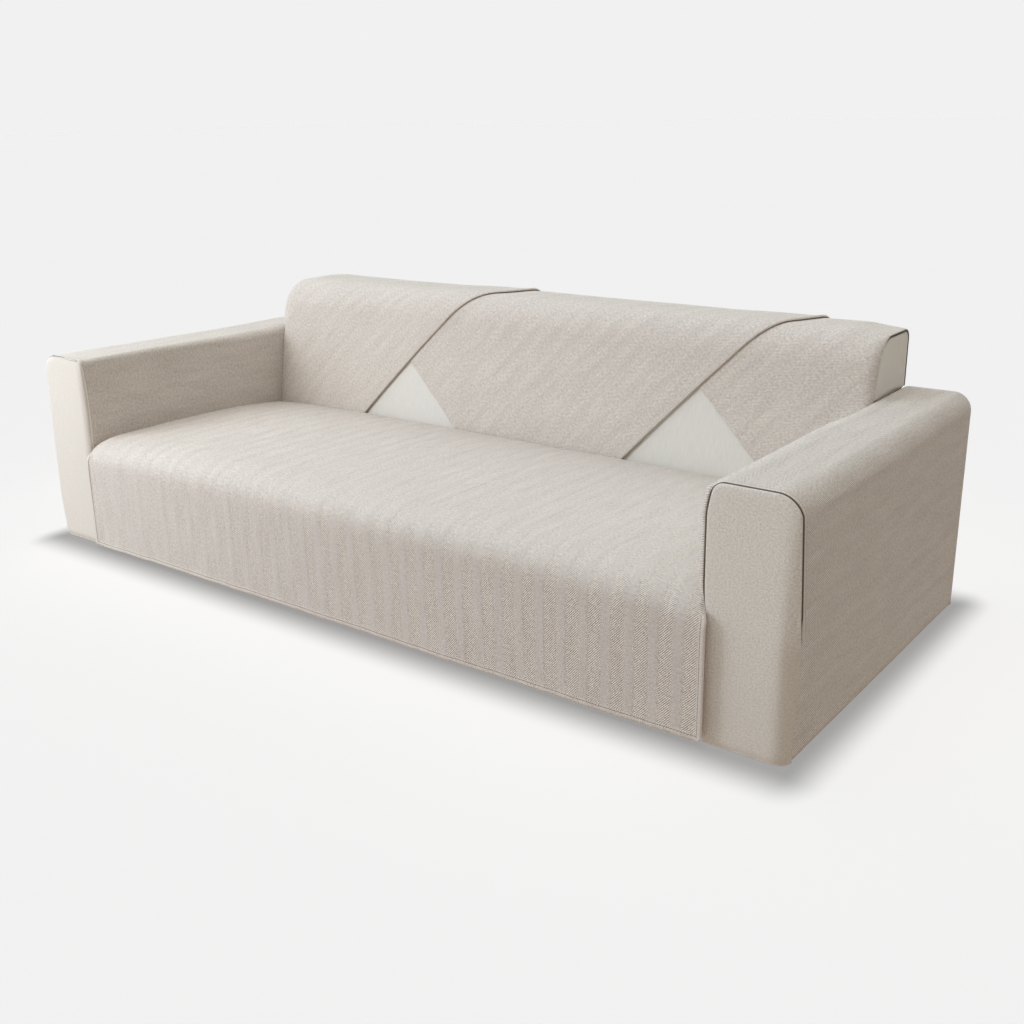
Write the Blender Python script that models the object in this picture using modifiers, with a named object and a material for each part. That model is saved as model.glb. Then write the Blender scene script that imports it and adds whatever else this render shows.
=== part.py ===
"""Fitted two-cloth sofa slipcover, modelled as an empty shell of sewn pieces.

The frame: +X to the right as seen from the front, +Y to the rear, +Z up, metres.
The origin is at the bottom centre of the cover's box. Depths are counted from the
plane of the arm fronts towards the rear, and y_at() turns them into Y.
Profiles are lists of (across, up) points, which run so that their left side is outside.
"""
import math

import bmesh
import bpy

# Overall sizes, metres
COVER_WIDTH = 2.400
COVER_DEPTH = 1.010
BACK_HEIGHT = 0.707
ARM_HEIGHT = 0.559
ARM_WIDTH = 0.183
DROP_STANDOFF = 0.020

# Cloths and seams
HERRINGBONE_THICKNESS = 0.0025
PLAIN_THICKNESS = 0.0020
PIPING_RADIUS = 0.0022
SEAM_GAP = 0.0005
TRIM_GAP = 0.0003

# Arm covers: a box with a rounded top, tucked in beside the seat
ARM_INNER_RADIUS = 0.030
ARM_OUTER_RADIUS = 0.045
ARM_CORNER_STEPS = 5
ARM_TUCK_HEIGHT = 0.262
ARM_SIDE_HEIGHTS = (0.13, 0.27, 0.278, 0.36, 0.45)
ARM_LENGTH_STATIONS = (0.06, 0.24, 0.44, 0.64, 0.83)
ARM_REAR_RADIUS = 0.012
ARM_REAR_TURN = 0.024

# Seam round the arm front, as depths behind its plane, and the roll of the front cloth
SEAM_DEPTH_INNER = 0.012
SEAM_DEPTH_TOP = 0.010
SEAM_DEPTH_SHOULDER = 0.014
SEAM_DEPTH_OUTER = 0.040
SEAM_DEPTH_HEM = 0.030
PIPING_END_HEIGHT = 0.270
PIPING_SINK = 0.25
PIPING_SINK_AT_SEAT = 1.1
FRONT_RIM_GAP = 0.0010
FRONT_ROLL_SIDE = 0.030
FRONT_ROLL_TOP = 0.014
FRONT_ROLL_SHARES = (0.0, 0.012, 0.08, 0.25, 0.55, 1.0)
FRONT_HEIGHTS = (0.0, 0.13, 0.255, 0.27, 0.35, 0.44, 0.50)

# Seat: crowned top, soft front roll, long drop with a wavy hem
SEAT_EDGE_HEIGHT = 0.328
SEAT_CROWN = 0.018
SEAT_CROWN_POWER = 5
SEAT_REAR_FALL = 0.024
SEAT_LEVEL_DEPTH = 0.280
SEAT_REAR_DEPTH = 0.737
SEAT_TUCK = 0.034
SEAT_TUCK_RADIUS = 0.012
SEAT_DEPTH_STATIONS = (0.690, 0.620, 0.520, 0.400, 0.280, 0.180)
ROLL_DEPTH = 0.132
ROLL_HEIGHT = 0.077
ROLL_POWER = 2.5
ROLL_SHARES = (1.0, 0.80, 0.62, 0.45, 0.30, 0.18, 0.08, 0.02, 0.0)
DROP_HALF_WIDTH = 1.030
DROP_WIDENS_AT = -0.004
DROP_WIDENS_OVER = 0.013
DROP_ROWS = 4
DROP_FOLD = 0.0050
HEM_HEIGHT = 0.007
HEM_WAVE = 0.0025

# Back: a leaning front, a large radius over its front edge and a small one at the rear
BACK_FOOT_DEPTH = 0.7363
BACK_FOOT_HEIGHT = 0.250
BACK_LIP_DEPTH = 0.8042
BACK_FRONT_RADIUS = 0.090
BACK_REAR_RADIUS = 0.030
BACK_CORNER_STEPS = 6
BACK_PANEL_COLUMNS = 10
BACK_END_HALF_WIDTH = 1.030
BACK_END_ROUND = 0.012
BACK_END_STEPS = 4
LEAST_END_ROUND = 0.0006
OVER_ARM_GAP = 0.0030
END_FLOOR_GAP = 0.0040
END_SEAM_GAP = 0.0009
BACK_WAVE = 0.0012
WAVE_FADE = 0.10
WAVE_FADE_AT_ENDS = 0.15

# The pieces laid over the back, by the x at which their edges meet the seat
SEAT_LINE_HEIGHT = 0.316
PIECE_RIGHT_EDGES = {"left": -0.611, "middle": 0.3555}
PIECE_LEFT_EDGES = {"middle": -0.2427, "right": 0.8065}
PIECE_ABOVE = {"middle": "left", "right": "middle"}
EDGE_RISE = 0.93
EDGE_RISE_ON_TOP = 0.15
EDGE_BEND_AT = 0.405
EDGE_BEND_WIDTH = 0.030
LEFT_EDGE_RISE = -1.05
PIECE_OVERLAP = 0.070
PIECE_COLUMNS = 6
PIECE_FOOT_HEIGHT = 0.286
PIECE_REAR_HEM_HEIGHT = 0.400
LAYER_GAP = 0.0007
LAYER_STEP = 0.0040
STEP_DOWN_START = 0.085
STEP_DOWN_END = 0.130

HALF_WIDTH = COVER_WIDTH / 2
ARM_INNER_X = HALF_WIDTH - ARM_WIDTH
ARM_MIDDLE_X = HALF_WIDTH - ARM_WIDTH / 2
SEAT_HALF_WIDTH = ARM_INNER_X - SEAM_GAP
ARM_ROUND_START = ARM_HEIGHT - ARM_INNER_RADIUS
FRONT_Y = (DROP_STANDOFF - COVER_DEPTH - LAYER_STEP) / 2

COLLECTION_NAME = "sofa_slipcover"
CLOTHS = {
    "herringbone": {"colour": (0.62, 0.55, 0.49, 1.0), "roughness": 0.92,
                    "thickness": HERRINGBONE_THICKNESS},
    "plain": {"colour": (0.76, 0.73, 0.67, 1.0), "roughness": 0.90,
              "thickness": PLAIN_THICKNESS},
    "piping": {"colour": (0.10, 0.08, 0.065, 1.0), "roughness": 0.85},
}


# Small helpers

def y_at(depth):
    return FRONT_Y + depth


def smooth_step(value):
    t = min(max(value, 0.0), 1.0)
    return t * t * (3 - 2 * t)


def between(start, end, share):
    return start + (end - start) * share


def even_steps(start, end, count):
    """count + 1 values from start to end."""
    return [between(start, end, i / count) for i in range(count + 1)]


def table_value(table, key):
    """Linear reading of a short table of (key, value) rows with rising keys."""
    for (low, low_value), (high, high_value) in zip(table, table[1:]):
        if key <= high:
            return between(low_value, high_value, max(key - low, 0.0) / (high - low))
    return table[-1][1]


def unit_vector(start, end):
    length = math.dist(start, end)
    return ((end[0] - start[0]) / length, (end[1] - start[1]) / length)


# Profiles

def corner_arc(before, corner, after, radius, steps):
    """Points of the arc that rounds a corner between two straight stretches."""
    back = unit_vector(corner, before)
    onward = unit_vector(corner, after)
    half_angle = math.acos(back[0] * onward[0] + back[1] * onward[1]) / 2
    reach = radius / math.tan(half_angle)
    bisector = unit_vector((0.0, 0.0), (back[0] + onward[0], back[1] + onward[1]))
    centre = [corner[k] + bisector[k] * radius / math.sin(half_angle) for k in (0, 1)]
    start = [corner[k] + back[k] * reach - centre[k] for k in (0, 1)]
    turns_left = back[0] * onward[1] - back[1] * onward[0] < 0
    sweep = (math.pi - 2 * half_angle) * (1 if turns_left else -1)
    points = []
    for angle in even_steps(0.0, sweep, steps):
        cosine, sine = math.cos(angle), math.sin(angle)
        points.append((centre[0] + start[0] * cosine - start[1] * sine,
                       centre[1] + start[0] * sine + start[1] * cosine))
    return points


def rounded_path(corners, steps):
    """An open path through corners (across, up, radius)."""
    path = [corners[0][:2]]
    for before, corner, after in zip(corners, corners[1:], corners[2:]):
        path += corner_arc(before[:2], corner[:2], after[:2], corner[2], steps)
    path.append(corners[-1][:2])
    return path


def with_heights(path, heights):
    """Adds a point wherever a stretch of the path passes one of the heights."""
    least_spacing = 0.006
    fuller = [path[0]]
    for start, end in zip(path, path[1:]):
        low, high = sorted((start[1], end[1]))
        passed = [h for h in heights if low + least_spacing < h < high - least_spacing]
        for height in sorted(passed, reverse=end[1] < start[1]):
            share = (height - start[1]) / (end[1] - start[1])
            fuller.append((between(start[0], end[0], share), height))
        fuller.append(end)
    return fuller


def path_normals(path):
    """The mitred outward normal at each point, so that equal insets stay parallel."""
    normals = []
    for i, point in enumerate(path):
        runs = []
        if i > 0:
            runs.append(unit_vector(path[i - 1], point))
        if i < len(path) - 1:
            runs.append(unit_vector(point, path[i + 1]))
        sides = [(-run[1], run[0]) for run in runs]
        total = (sum(side[0] for side in sides), sum(side[1] for side in sides))
        unit = unit_vector((0.0, 0.0), total)
        mitre = 1 / (unit[0] * sides[0][0] + unit[1] * sides[0][1])
        normals.append((unit[0] * mitre, unit[1] * mitre))
    return normals


def inset_path(path, inset):
    return [(a - na * inset, b - nb * inset)
            for (a, b), (na, nb) in zip(path, path_normals(path))]


def path_lengths(path):
    lengths = [0.0]
    for start, end in zip(path, path[1:]):
        lengths.append(lengths[-1] + math.dist(start, end))
    return lengths


# Objects

def clear_scene():
    for old in list(bpy.data.objects):
        bpy.data.objects.remove(old, do_unlink=True)


def make_material(name, settings):
    material = bpy.data.materials.new(name)
    material.use_nodes = True
    shader = material.node_tree.nodes["Principled BSDF"]
    shader.inputs["Base Color"].default_value = settings["colour"]
    shader.inputs["Roughness"].default_value = settings["roughness"]
    shader.inputs["Metallic"].default_value = 0.0
    return material


def add_object(name, data, cloth):
    part = bpy.data.objects.new(name, data)
    data.materials.append(make_material(name, CLOTHS[cloth]))
    bpy.data.collections[COLLECTION_NAME].objects.link(part)
    return part


def cloth_sheet(name, columns, rows, place, cloth, side=1):
    """A sheet from a grid. place(column, row) is the cloth's outside at that station.

    side is -1 where the columns and rows run the other way round the outside.
    """
    mesh = bpy.data.meshes.new(name)
    grid = bmesh.new()
    bmesh.ops.create_grid(grid, x_segments=columns - 1, y_segments=rows - 1, size=0.5)
    for vertex in grid.verts:
        column = round((vertex.co.x + 0.5) * (columns - 1))
        row = round((vertex.co.y + 0.5) * (rows - 1))
        vertex.co = place(column, row)
    if side < 0:
        bmesh.ops.reverse_faces(grid, faces=grid.faces)
    grid.to_mesh(mesh)
    grid.free()
    sheet = add_object(name, mesh, cloth)
    solidify = sheet.modifiers.new("thickness", "SOLIDIFY")
    solidify.thickness = CLOTHS[cloth]["thickness"]
    solidify.offset = -1
    solidify.use_even_offset = True


def flat_panel(name, outline, centre, rotation):
    """A flat plain panel: a filled outline, as thick as the cloth, turned into its plane."""
    curve = bpy.data.curves.new(name, "CURVE")
    curve.dimensions = "2D"
    curve.fill_mode = "BOTH"
    curve.extrude = PLAIN_THICKNESS / 2
    spline = curve.splines.new("POLY")
    spline.points.add(len(outline) - 1)
    for point, (across, up) in zip(spline.points, outline):
        point.co = (across, up, 0.0, 1.0)
    spline.use_cyclic_u = True
    panel = add_object(name, curve, "plain")
    panel.location = centre
    panel.rotation_euler = rotation


def piping(name, route):
    curve = bpy.data.curves.new(name, "CURVE")
    curve.dimensions = "3D"
    curve.bevel_depth = PIPING_RADIUS
    curve.bevel_resolution = 1
    curve.use_fill_caps = True
    spline = curve.splines.new("POLY")
    spline.points.add(len(route) - 1)
    for point, place in zip(spline.points, route):
        point.co = (*place, 1.0)
    add_object(name, curve, "piping")


# Seat cover

def seat_top(depth):
    """Height of the seat cloth along the arms."""
    beyond = max(depth - SEAT_LEVEL_DEPTH, 0.0) / (SEAT_REAR_DEPTH - SEAT_LEVEL_DEPTH)
    return SEAT_EDGE_HEIGHT - SEAT_REAR_FALL * beyond ** 3


def roll_height(top, share):
    """Height on the front roll; share is how much of its depth is still to go."""
    return top - ROLL_HEIGHT + ROLL_HEIGHT * (1 - (1 - share) ** ROLL_POWER) ** (1 / ROLL_POWER)


def seat_section(crown):
    """Depth and height of the seat cloth, from its rear tuck to the top of the drop."""
    turn_depth = SEAT_REAR_DEPTH - SEAT_TUCK_RADIUS
    turn_top = seat_top(turn_depth) + crown
    section = [(SEAT_REAR_DEPTH, turn_top - SEAT_TUCK),
               (SEAT_REAR_DEPTH, turn_top - SEAT_TUCK_RADIUS * 0.8),
               (SEAT_REAR_DEPTH - SEAT_TUCK_RADIUS * 0.3, turn_top - SEAT_TUCK_RADIUS * 0.25),
               (turn_depth, turn_top)]
    section += [(depth, seat_top(depth) + crown) for depth in SEAT_DEPTH_STATIONS]
    roll_top = SEAT_EDGE_HEIGHT + crown
    section += [(share * ROLL_DEPTH - DROP_STANDOFF, roll_height(roll_top, share))
                for share in ROLL_SHARES]
    return section


def seat_half_width(depth):
    """Narrow between the arms, and wider once the cloth is in front of them."""
    spread = smooth_step((DROP_WIDENS_AT - depth) / DROP_WIDENS_OVER)
    return between(SEAT_HALF_WIDTH, DROP_HALF_WIDTH, spread)


def drop_ripple(x):
    """Uneven soft folds of the drop, from 0 to 1."""
    waves = ((1.0, 5.1, 0.6), (0.7, 9.7, 2.1), (0.5, 16.3, -0.4))
    total = sum(size * math.sin(rate * x + start) for size, rate, start in waves)
    return 0.5 + 0.5 * total / sum(size for size, _rate, _start in waves)


def build_seat_cover():
    half_shares = (0.0, 0.15, 0.30, 0.45, 0.60, 0.76, 0.88, 0.95, 0.985, 1.0)
    shares = [-share for share in reversed(half_shares[1:])] + list(half_shares)
    sections = [seat_section(SEAT_CROWN * (1 - abs(share) ** SEAT_CROWN_POWER)) for share in shares]
    top_rows = len(sections[0])

    def place(column, row):
        section = sections[column]
        depth, height = section[min(row, top_rows - 1)]
        down = max(row - top_rows + 1, 0) / DROP_ROWS
        x = shares[column] * seat_half_width(depth)
        hem = HEM_HEIGHT + HEM_WAVE * math.sin(7.3 * x + 1.0)
        depth += DROP_FOLD * drop_ripple(x) * down ** 1.5
        return (x, y_at(depth), between(height, hem, down))

    cloth_sheet("seat_cover", len(shares), top_rows + DROP_ROWS, place, "herringbone", side=-1)


# Arms

def arm_outline():
    """Cross-section of the right arm's cloth, from the tuck beside the seat to the outer hem."""
    corners = [(ARM_INNER_X, ARM_TUCK_HEIGHT, 0.0),
               (ARM_INNER_X, ARM_HEIGHT, ARM_INNER_RADIUS),
               (HALF_WIDTH, ARM_HEIGHT, ARM_OUTER_RADIUS),
               (HALF_WIDTH, 0.0, 0.0)]
    return with_heights(rounded_path(corners, ARM_CORNER_STEPS), ARM_SIDE_HEIGHTS)


def seam_depth(x, z):
    """How far behind the arm's front plane the seam runs at this place of the outline."""
    inner_side = ((ARM_ROUND_START, SEAM_DEPTH_INNER), (ARM_HEIGHT, SEAM_DEPTH_TOP))
    outer_side = ((0.0, SEAM_DEPTH_HEM), (PIPING_END_HEIGHT, SEAM_DEPTH_OUTER),
                  (ARM_HEIGHT - ARM_OUTER_RADIUS, SEAM_DEPTH_SHOULDER),
                  (ARM_HEIGHT, SEAM_DEPTH_TOP))
    across = smooth_step((x - ARM_INNER_X) / ARM_WIDTH)
    return between(table_value(inner_side, z), table_value(outer_side, z), across)


def build_arm_cover(name, side):
    outline = arm_outline()
    normals = path_normals(outline)
    turn_start = COVER_DEPTH - ARM_REAR_RADIUS
    along = [(depth, 0.0) for depth in (*ARM_LENGTH_STATIONS, turn_start)]
    along += [(turn_start + ARM_REAR_RADIUS * math.sin(angle),
               ARM_REAR_RADIUS * (1 - math.cos(angle)))
              for angle in even_steps(0.0, math.pi / 2, 3)[1:]]
    along.append((COVER_DEPTH, ARM_REAR_TURN))

    def place(column, row):
        x, z = outline[column]
        depth, inset = (seam_depth(x, z), 0.0) if row == 0 else along[row - 1]
        x -= normals[column][0] * inset
        z -= normals[column][1] * inset
        return (side * x, y_at(depth), z)

    cloth_sheet(name, len(outline), len(along) + 1, place, "herringbone", side)


def build_arm_rear(name, side):
    """The rear panel: inside the turned edge above, out to the back panel below the tuck."""
    inside = [point for point in inset_path(arm_outline(), ARM_REAR_TURN + SEAM_GAP)
              if point[1] > ARM_TUCK_HEIGHT or point[0] > ARM_MIDDLE_X]
    inner_x = ARM_INNER_X + SEAM_GAP
    step_height = ARM_TUCK_HEIGHT - 2 * SEAM_GAP
    outline = [(inner_x, 0.0), (inner_x, step_height), (inside[0][0], step_height)] + inside
    centre = (0.0, y_at(COVER_DEPTH - PLAIN_THICKNESS / 2), 0.0)
    flat_panel(name, [(side * x, z) for x, z in outline], centre, (math.pi / 2, 0.0, 0.0))


def corner_draw(radius, z):
    """How far a rounded top corner has drawn the side in at a height."""
    into = max(z - (ARM_HEIGHT - radius), 0.0)
    return radius - math.sqrt(max(radius ** 2 - into ** 2, 0.0))


def has_piping(x, z):
    return x < ARM_MIDDLE_X or z > PIPING_END_HEIGHT - TRIM_GAP


def front_depth(x, z):
    """The front cloth rolls back from its flat middle to the seam."""
    inner = ARM_INNER_X + corner_draw(ARM_INNER_RADIUS, z)
    outer = HALF_WIDTH - corner_draw(ARM_OUTER_RADIUS, z)
    rim = seam_depth(x, z) - FRONT_RIM_GAP
    if has_piping(x, z):
        rim -= 2 * PIPING_RADIUS + TRIM_GAP
    share = min((x - inner) / FRONT_ROLL_SIDE, (outer - x) / FRONT_ROLL_SIDE,
                (ARM_HEIGHT - z) / FRONT_ROLL_TOP, 1.0)
    return rim * (1 - math.sqrt(max(1 - (1 - share) ** 2, 0.0)))


def build_arm_front(name, side):
    corner_angles = even_steps(0.0, math.pi / 2, ARM_CORNER_STEPS)[1:-1]
    heights = list(FRONT_HEIGHTS)
    heights += [ARM_HEIGHT - ARM_OUTER_RADIUS * (1 - math.sin(angle)) for angle in corner_angles]
    heights += [ARM_HEIGHT - FRONT_ROLL_SHARES[1] * FRONT_ROLL_TOP, ARM_HEIGHT]
    columns = 2 * len(FRONT_ROLL_SHARES)

    def place(column, row):
        z = heights[row]
        if column < len(FRONT_ROLL_SHARES):
            x = ARM_INNER_X + corner_draw(ARM_INNER_RADIUS, z)
            x += FRONT_ROLL_SIDE * FRONT_ROLL_SHARES[column]
        else:
            x = HALF_WIDTH - corner_draw(ARM_OUTER_RADIUS, z)
            x -= FRONT_ROLL_SIDE * FRONT_ROLL_SHARES[columns - 1 - column]
        return (side * x, y_at(front_depth(x, z)), z)

    cloth_sheet(name, columns, len(heights), place, "plain", side)


def build_arm_piping(name, side):
    stations = [(x, z) for x, z in arm_outline() if has_piping(x, z) and z > ARM_TUCK_HEIGHT]
    route = []
    for (x, z), (nx, nz) in zip(stations, path_normals(stations)):
        above_seat = smooth_step((z - SEAT_EDGE_HEIGHT) / 0.05)
        if x > ARM_MIDDLE_X:
            above_seat = 1.0
        sunk = PIPING_RADIUS * between(PIPING_SINK_AT_SEAT, PIPING_SINK, above_seat)
        depth = seam_depth(x, z) - PIPING_RADIUS - TRIM_GAP
        route.append((side * (x - nx * sunk), y_at(depth), z - nz * sunk))
    piping(name, route)


# Back

def back_path():
    """Side profile of the pieces laid over the back, from their foot up, over and down."""
    corners = [(BACK_FOOT_DEPTH, BACK_FOOT_HEIGHT, 0.0),
               (BACK_LIP_DEPTH, BACK_HEIGHT, BACK_FRONT_RADIUS),
               (COVER_DEPTH, BACK_HEIGHT, BACK_REAR_RADIUS),
               (COVER_DEPTH, 0.0, 0.0)]
    by_the_arms = [ARM_ROUND_START + rise for rise in (0.001, 0.014, 0.027)]
    heights = [0.13, 0.26, PIECE_FOOT_HEIGHT, 0.36, PIECE_REAR_HEM_HEIGHT, 0.46, 0.575]
    return with_heights(rounded_path(corners, BACK_CORNER_STEPS), heights + by_the_arms)


def climbs_along(path):
    """Length along the profile at each point, counted from where it meets the seat."""
    lengths = path_lengths(path)
    for i, (start, end) in enumerate(zip(path, path[1:])):
        if start[1] <= SEAT_LINE_HEIGHT <= end[1]:
            share = (SEAT_LINE_HEIGHT - start[1]) / (end[1] - start[1])
            seat_line = between(lengths[i], lengths[i + 1], share)
            return [length - seat_line for length in lengths]
    return lengths


def back_half_width(z):
    """Between the arms below, and out over their rounded inner edges above."""
    if z <= ARM_ROUND_START:
        return SEAT_HALF_WIDTH
    over_arm = ARM_INNER_X + corner_draw(ARM_INNER_RADIUS, min(z, ARM_HEIGHT)) - OVER_ARM_GAP
    return min(max(over_arm, SEAT_HALF_WIDTH - SEAM_GAP), BACK_END_HALF_WIDTH)


def end_round(z):
    """Radius with which the pieces turn in round the back's ends, none between the arms."""
    return BACK_END_ROUND * smooth_step((z - ARM_ROUND_START) / (ARM_INNER_RADIUS - OVER_ARM_GAP))


def back_wave(x, climb):
    """Slight unevenness that all the layers on the back share."""
    fade = smooth_step(climb / WAVE_FADE) * smooth_step((0.95 - climb) / WAVE_FADE)
    fade *= smooth_step((SEAT_HALF_WIDTH - abs(x)) / WAVE_FADE_AT_ENDS)
    waves = math.sin(4.3 * x + 3.0 * climb) + 0.6 * math.sin(9.1 * x - 5.0 * climb)
    return BACK_WAVE * fade * waves


def right_edge(piece, climb):
    """x of a piece's right edge: diagonal up the front, near straight over the top."""
    over = climb - EDGE_BEND_AT
    bend = (over + math.hypot(over, EDGE_BEND_WIDTH)) / 2
    return PIECE_RIGHT_EDGES[piece] + EDGE_RISE * climb - (EDGE_RISE - EDGE_RISE_ON_TOP) * bend


def left_edge(piece, climb):
    """x of a piece's left edge: diagonal in sight, and along the piece above once under it."""
    in_sight = PIECE_LEFT_EDGES[piece] + LEFT_EDGE_RISE * climb
    return max(in_sight, right_edge(PIECE_ABOVE[piece], climb) - PIECE_OVERLAP)


def build_back_panel():
    """The plain cloth under the pieces: up the front, over the top and down to the rear hem."""
    path = inset_path(back_path(), HERRINGBONE_THICKNESS + LAYER_GAP)
    normals = path_normals(path)
    climbs = climbs_along(back_path())
    shares = even_steps(-1.0, 1.0, BACK_PANEL_COLUMNS)

    def place(column, row):
        depth, z = path[row]
        x = shares[column] * (back_half_width(z) - end_round(z))
        out = back_wave(x, climbs[row])
        return (x, y_at(depth + normals[row][0] * out), z + normals[row][1] * out)

    cloth_sheet("back_panel", len(shares), len(path), place, "plain")


def end_turn(half, radius, sign):
    """x and inset of the cloth where it turns in round an end, from the flat to the rim."""
    return [(sign * (half - radius * (1 - math.sin(angle))), radius * (1 - math.cos(angle)))
            for angle in even_steps(0.0, math.pi / 2, BACK_END_STEPS)[1:]]


def piece_row(piece, climb, z):
    """(x, lift) at each column of one row of a piece."""
    half = back_half_width(z)
    radius = max(end_round(z), LEAST_END_ROUND)
    row = []
    if piece in PIECE_ABOVE:
        low = left_edge(piece, climb)
    else:
        low = radius - half
        row += [(x, -inset) for x, inset in reversed(end_turn(half, radius, -1))]
    if piece in PIECE_RIGHT_EDGES:
        high = right_edge(piece, climb)
        row += [(x, 0.0) for x in even_steps(low, high - STEP_DOWN_END, PIECE_COLUMNS)]
        middle = (STEP_DOWN_START + STEP_DOWN_END) / 2
        row += [(high - middle, LAYER_STEP / 2)]
        row += [(high - away, LAYER_STEP) for away in (STEP_DOWN_START, 0.02, 0.0)]
    else:
        row += [(x, 0.0) for x in even_steps(low, half - radius, PIECE_COLUMNS)]
        row += [(x, -inset) for x, inset in end_turn(half, radius, 1)]
    return row


def build_back_piece(piece):
    path = back_path()
    normals = path_normals(path)
    climbs = climbs_along(path)
    over_top = path.index(max(path, key=lambda point: point[1]))
    kept = [i for i, (_depth, z) in enumerate(path)
            if z > (PIECE_FOOT_HEIGHT if i < over_top else PIECE_REAR_HEM_HEIGHT) - TRIM_GAP]
    rows = [piece_row(piece, climbs[i], path[i][1]) for i in kept]

    def place(column, row):
        x, lift = rows[row][column]
        depth, z = path[kept[row]]
        across, up = normals[kept[row]]
        out = lift + back_wave(x, climbs[kept[row]])
        return (x, y_at(depth + across * out), z + up * out)

    cloth_sheet("back_piece_" + piece, len(rows[0]), len(rows), place, "herringbone")


def end_profile(inset, floor):
    """The back's side profile above a floor height, at an inset, ending on the floor."""
    above = [point for point in inset_path(back_path(), inset) if point[1] > floor + 0.003]
    lean = (BACK_LIP_DEPTH - BACK_FOOT_DEPTH) / (BACK_HEIGHT - BACK_FOOT_HEIGHT)
    front_depth_at_floor = above[0][0] - lean * (above[0][1] - floor)
    return [(front_depth_at_floor, floor)] + above + [(above[-1][0], floor)]


def build_back_end(name, side):
    piping_inset = BACK_END_ROUND + END_SEAM_GAP + PIPING_RADIUS
    panel_inset = piping_inset + PIPING_RADIUS + TRIM_GAP
    floor = ARM_ROUND_START + corner_draw_height(BACK_END_HALF_WIDTH) + END_FLOOR_GAP
    outline = [(y_at(depth), z) for depth, z in end_profile(panel_inset, floor)]
    centre = (side * (BACK_END_HALF_WIDTH - PLAIN_THICKNESS * 0.75), 0.0, 0.0)
    flat_panel("back_end_" + name, outline, centre, (math.pi / 2, 0.0, math.pi / 2))
    piping_x = side * (BACK_END_HALF_WIDTH - PIPING_RADIUS / 2)
    piping("back_piping_" + name,
           [(piping_x, y_at(depth), z) for depth, z in end_profile(piping_inset, floor)])


def corner_draw_height(x):
    """How far above the start of its rounding the arm's inner corner reaches this x."""
    drawn = ARM_INNER_RADIUS - (x - ARM_INNER_X)
    return math.sqrt(ARM_INNER_RADIUS ** 2 - drawn ** 2)


def main():
    clear_scene()
    collection = bpy.data.collections.new(COLLECTION_NAME)
    bpy.context.scene.collection.children.link(collection)
    build_seat_cover()
    build_back_panel()
    for piece in ("left", "middle", "right"):
        build_back_piece(piece)
    for name, side in (("left", -1), ("right", 1)):
        build_arm_cover("arm_cover_" + name, side)
        build_arm_front("arm_front_" + name, side)
        build_arm_rear("arm_rear_" + name, side)
        build_arm_piping("arm_piping_" + name, side)
        build_back_end(name, side)


main()
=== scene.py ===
import re
from functools import cache, partial
from math import (acos, atan, atan2, ceil, copysign, cos, dist, exp, hypot, pi, radians, sin,
                  sqrt, tan)

import bmesh
import bpy
from mathutils import Matrix, Vector, noise


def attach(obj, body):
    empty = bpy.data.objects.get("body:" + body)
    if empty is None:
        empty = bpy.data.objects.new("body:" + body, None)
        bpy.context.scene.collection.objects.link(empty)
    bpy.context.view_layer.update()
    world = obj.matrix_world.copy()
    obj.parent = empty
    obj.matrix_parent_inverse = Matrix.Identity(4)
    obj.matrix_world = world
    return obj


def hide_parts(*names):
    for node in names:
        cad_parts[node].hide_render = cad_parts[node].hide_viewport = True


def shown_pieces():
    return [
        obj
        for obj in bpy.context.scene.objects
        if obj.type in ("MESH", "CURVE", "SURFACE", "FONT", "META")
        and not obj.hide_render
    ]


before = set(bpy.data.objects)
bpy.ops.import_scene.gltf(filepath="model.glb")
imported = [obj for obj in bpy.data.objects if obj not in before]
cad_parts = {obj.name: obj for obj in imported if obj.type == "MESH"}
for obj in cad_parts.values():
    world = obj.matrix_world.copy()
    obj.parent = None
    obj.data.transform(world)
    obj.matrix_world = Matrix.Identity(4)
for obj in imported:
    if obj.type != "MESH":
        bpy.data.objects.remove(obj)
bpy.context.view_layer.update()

scene = bpy.context.scene
print("frame loaded:", len(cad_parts), "nodes")

# Depths are counted from the plane of the arm fronts to the rear, as in the CAD part.
cover = {
    "width": 2.400, "depth": 1.010, "backHeight": 0.707,
    "armHeight": 0.559, "armWidth": 0.183,
    "dropStandoff": 0.020,      # how far the front drop hangs before the arms
    "layerStep": 0.004,         # one lapped piece over the next
    "seamGap": 0.0005,
}
halfWidth = cover["width"] / 2
armTop = cover["armHeight"]
armInnerX = halfWidth - cover["armWidth"]
armMiddleX = halfWidth - cover["armWidth"] / 2
seatHalfWidth = armInnerX - cover["seamGap"]
frontY = (cover["dropStandoff"] - cover["depth"] - cover["layerStep"]) / 2

# A folded and stitched edge, by distance from the edge in metres
wideHem = {"edge": 0.0035, "stitch": 0.0110, "width": 0.0145, "height": 0.0020,
           "groove": 0.0013, "thread": 0.0012}
slimHem = {"edge": 0.0030, "stitch": 0.0076, "width": 0.0102, "height": 0.0034,
           "groove": 0.0016, "thread": 0.0009}
narrowHem = {"edge": 0.0015, "stitch": 0.0045, "width": 0.0062, "height": 0.0008,
             "groove": 0.0002, "thread": 0.0008}
hemStations = (0.0, 0.0008, 0.0020, 0.0034, 0.0045, 0.0058, 0.0080, 0.0098, 0.0110,
               0.0122, 0.0140, 0.0170, 0.0220)
rimStations = (0.0, 0.0008, 0.0020, 0.0045, 0.0090)
hemReach, rimReach = hemStations[-1], rimStations[-1]


def yAt(depth):
    return frontY + depth


def ease(value):
    t = min(max(value, 0.0), 1.0)
    return t * t * (3 - 2 * t)


def ramp(value, span):
    # 0 at the span's start, 1 at its end; a span is (start, length) and may run downwards
    return ease((value - span[0]) / span[1])


def between(start, end, share):
    return start + (end - start) * share


def evenSteps(start, end, count):
    return [between(start, end, i / count) for i in range(count + 1)]


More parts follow.
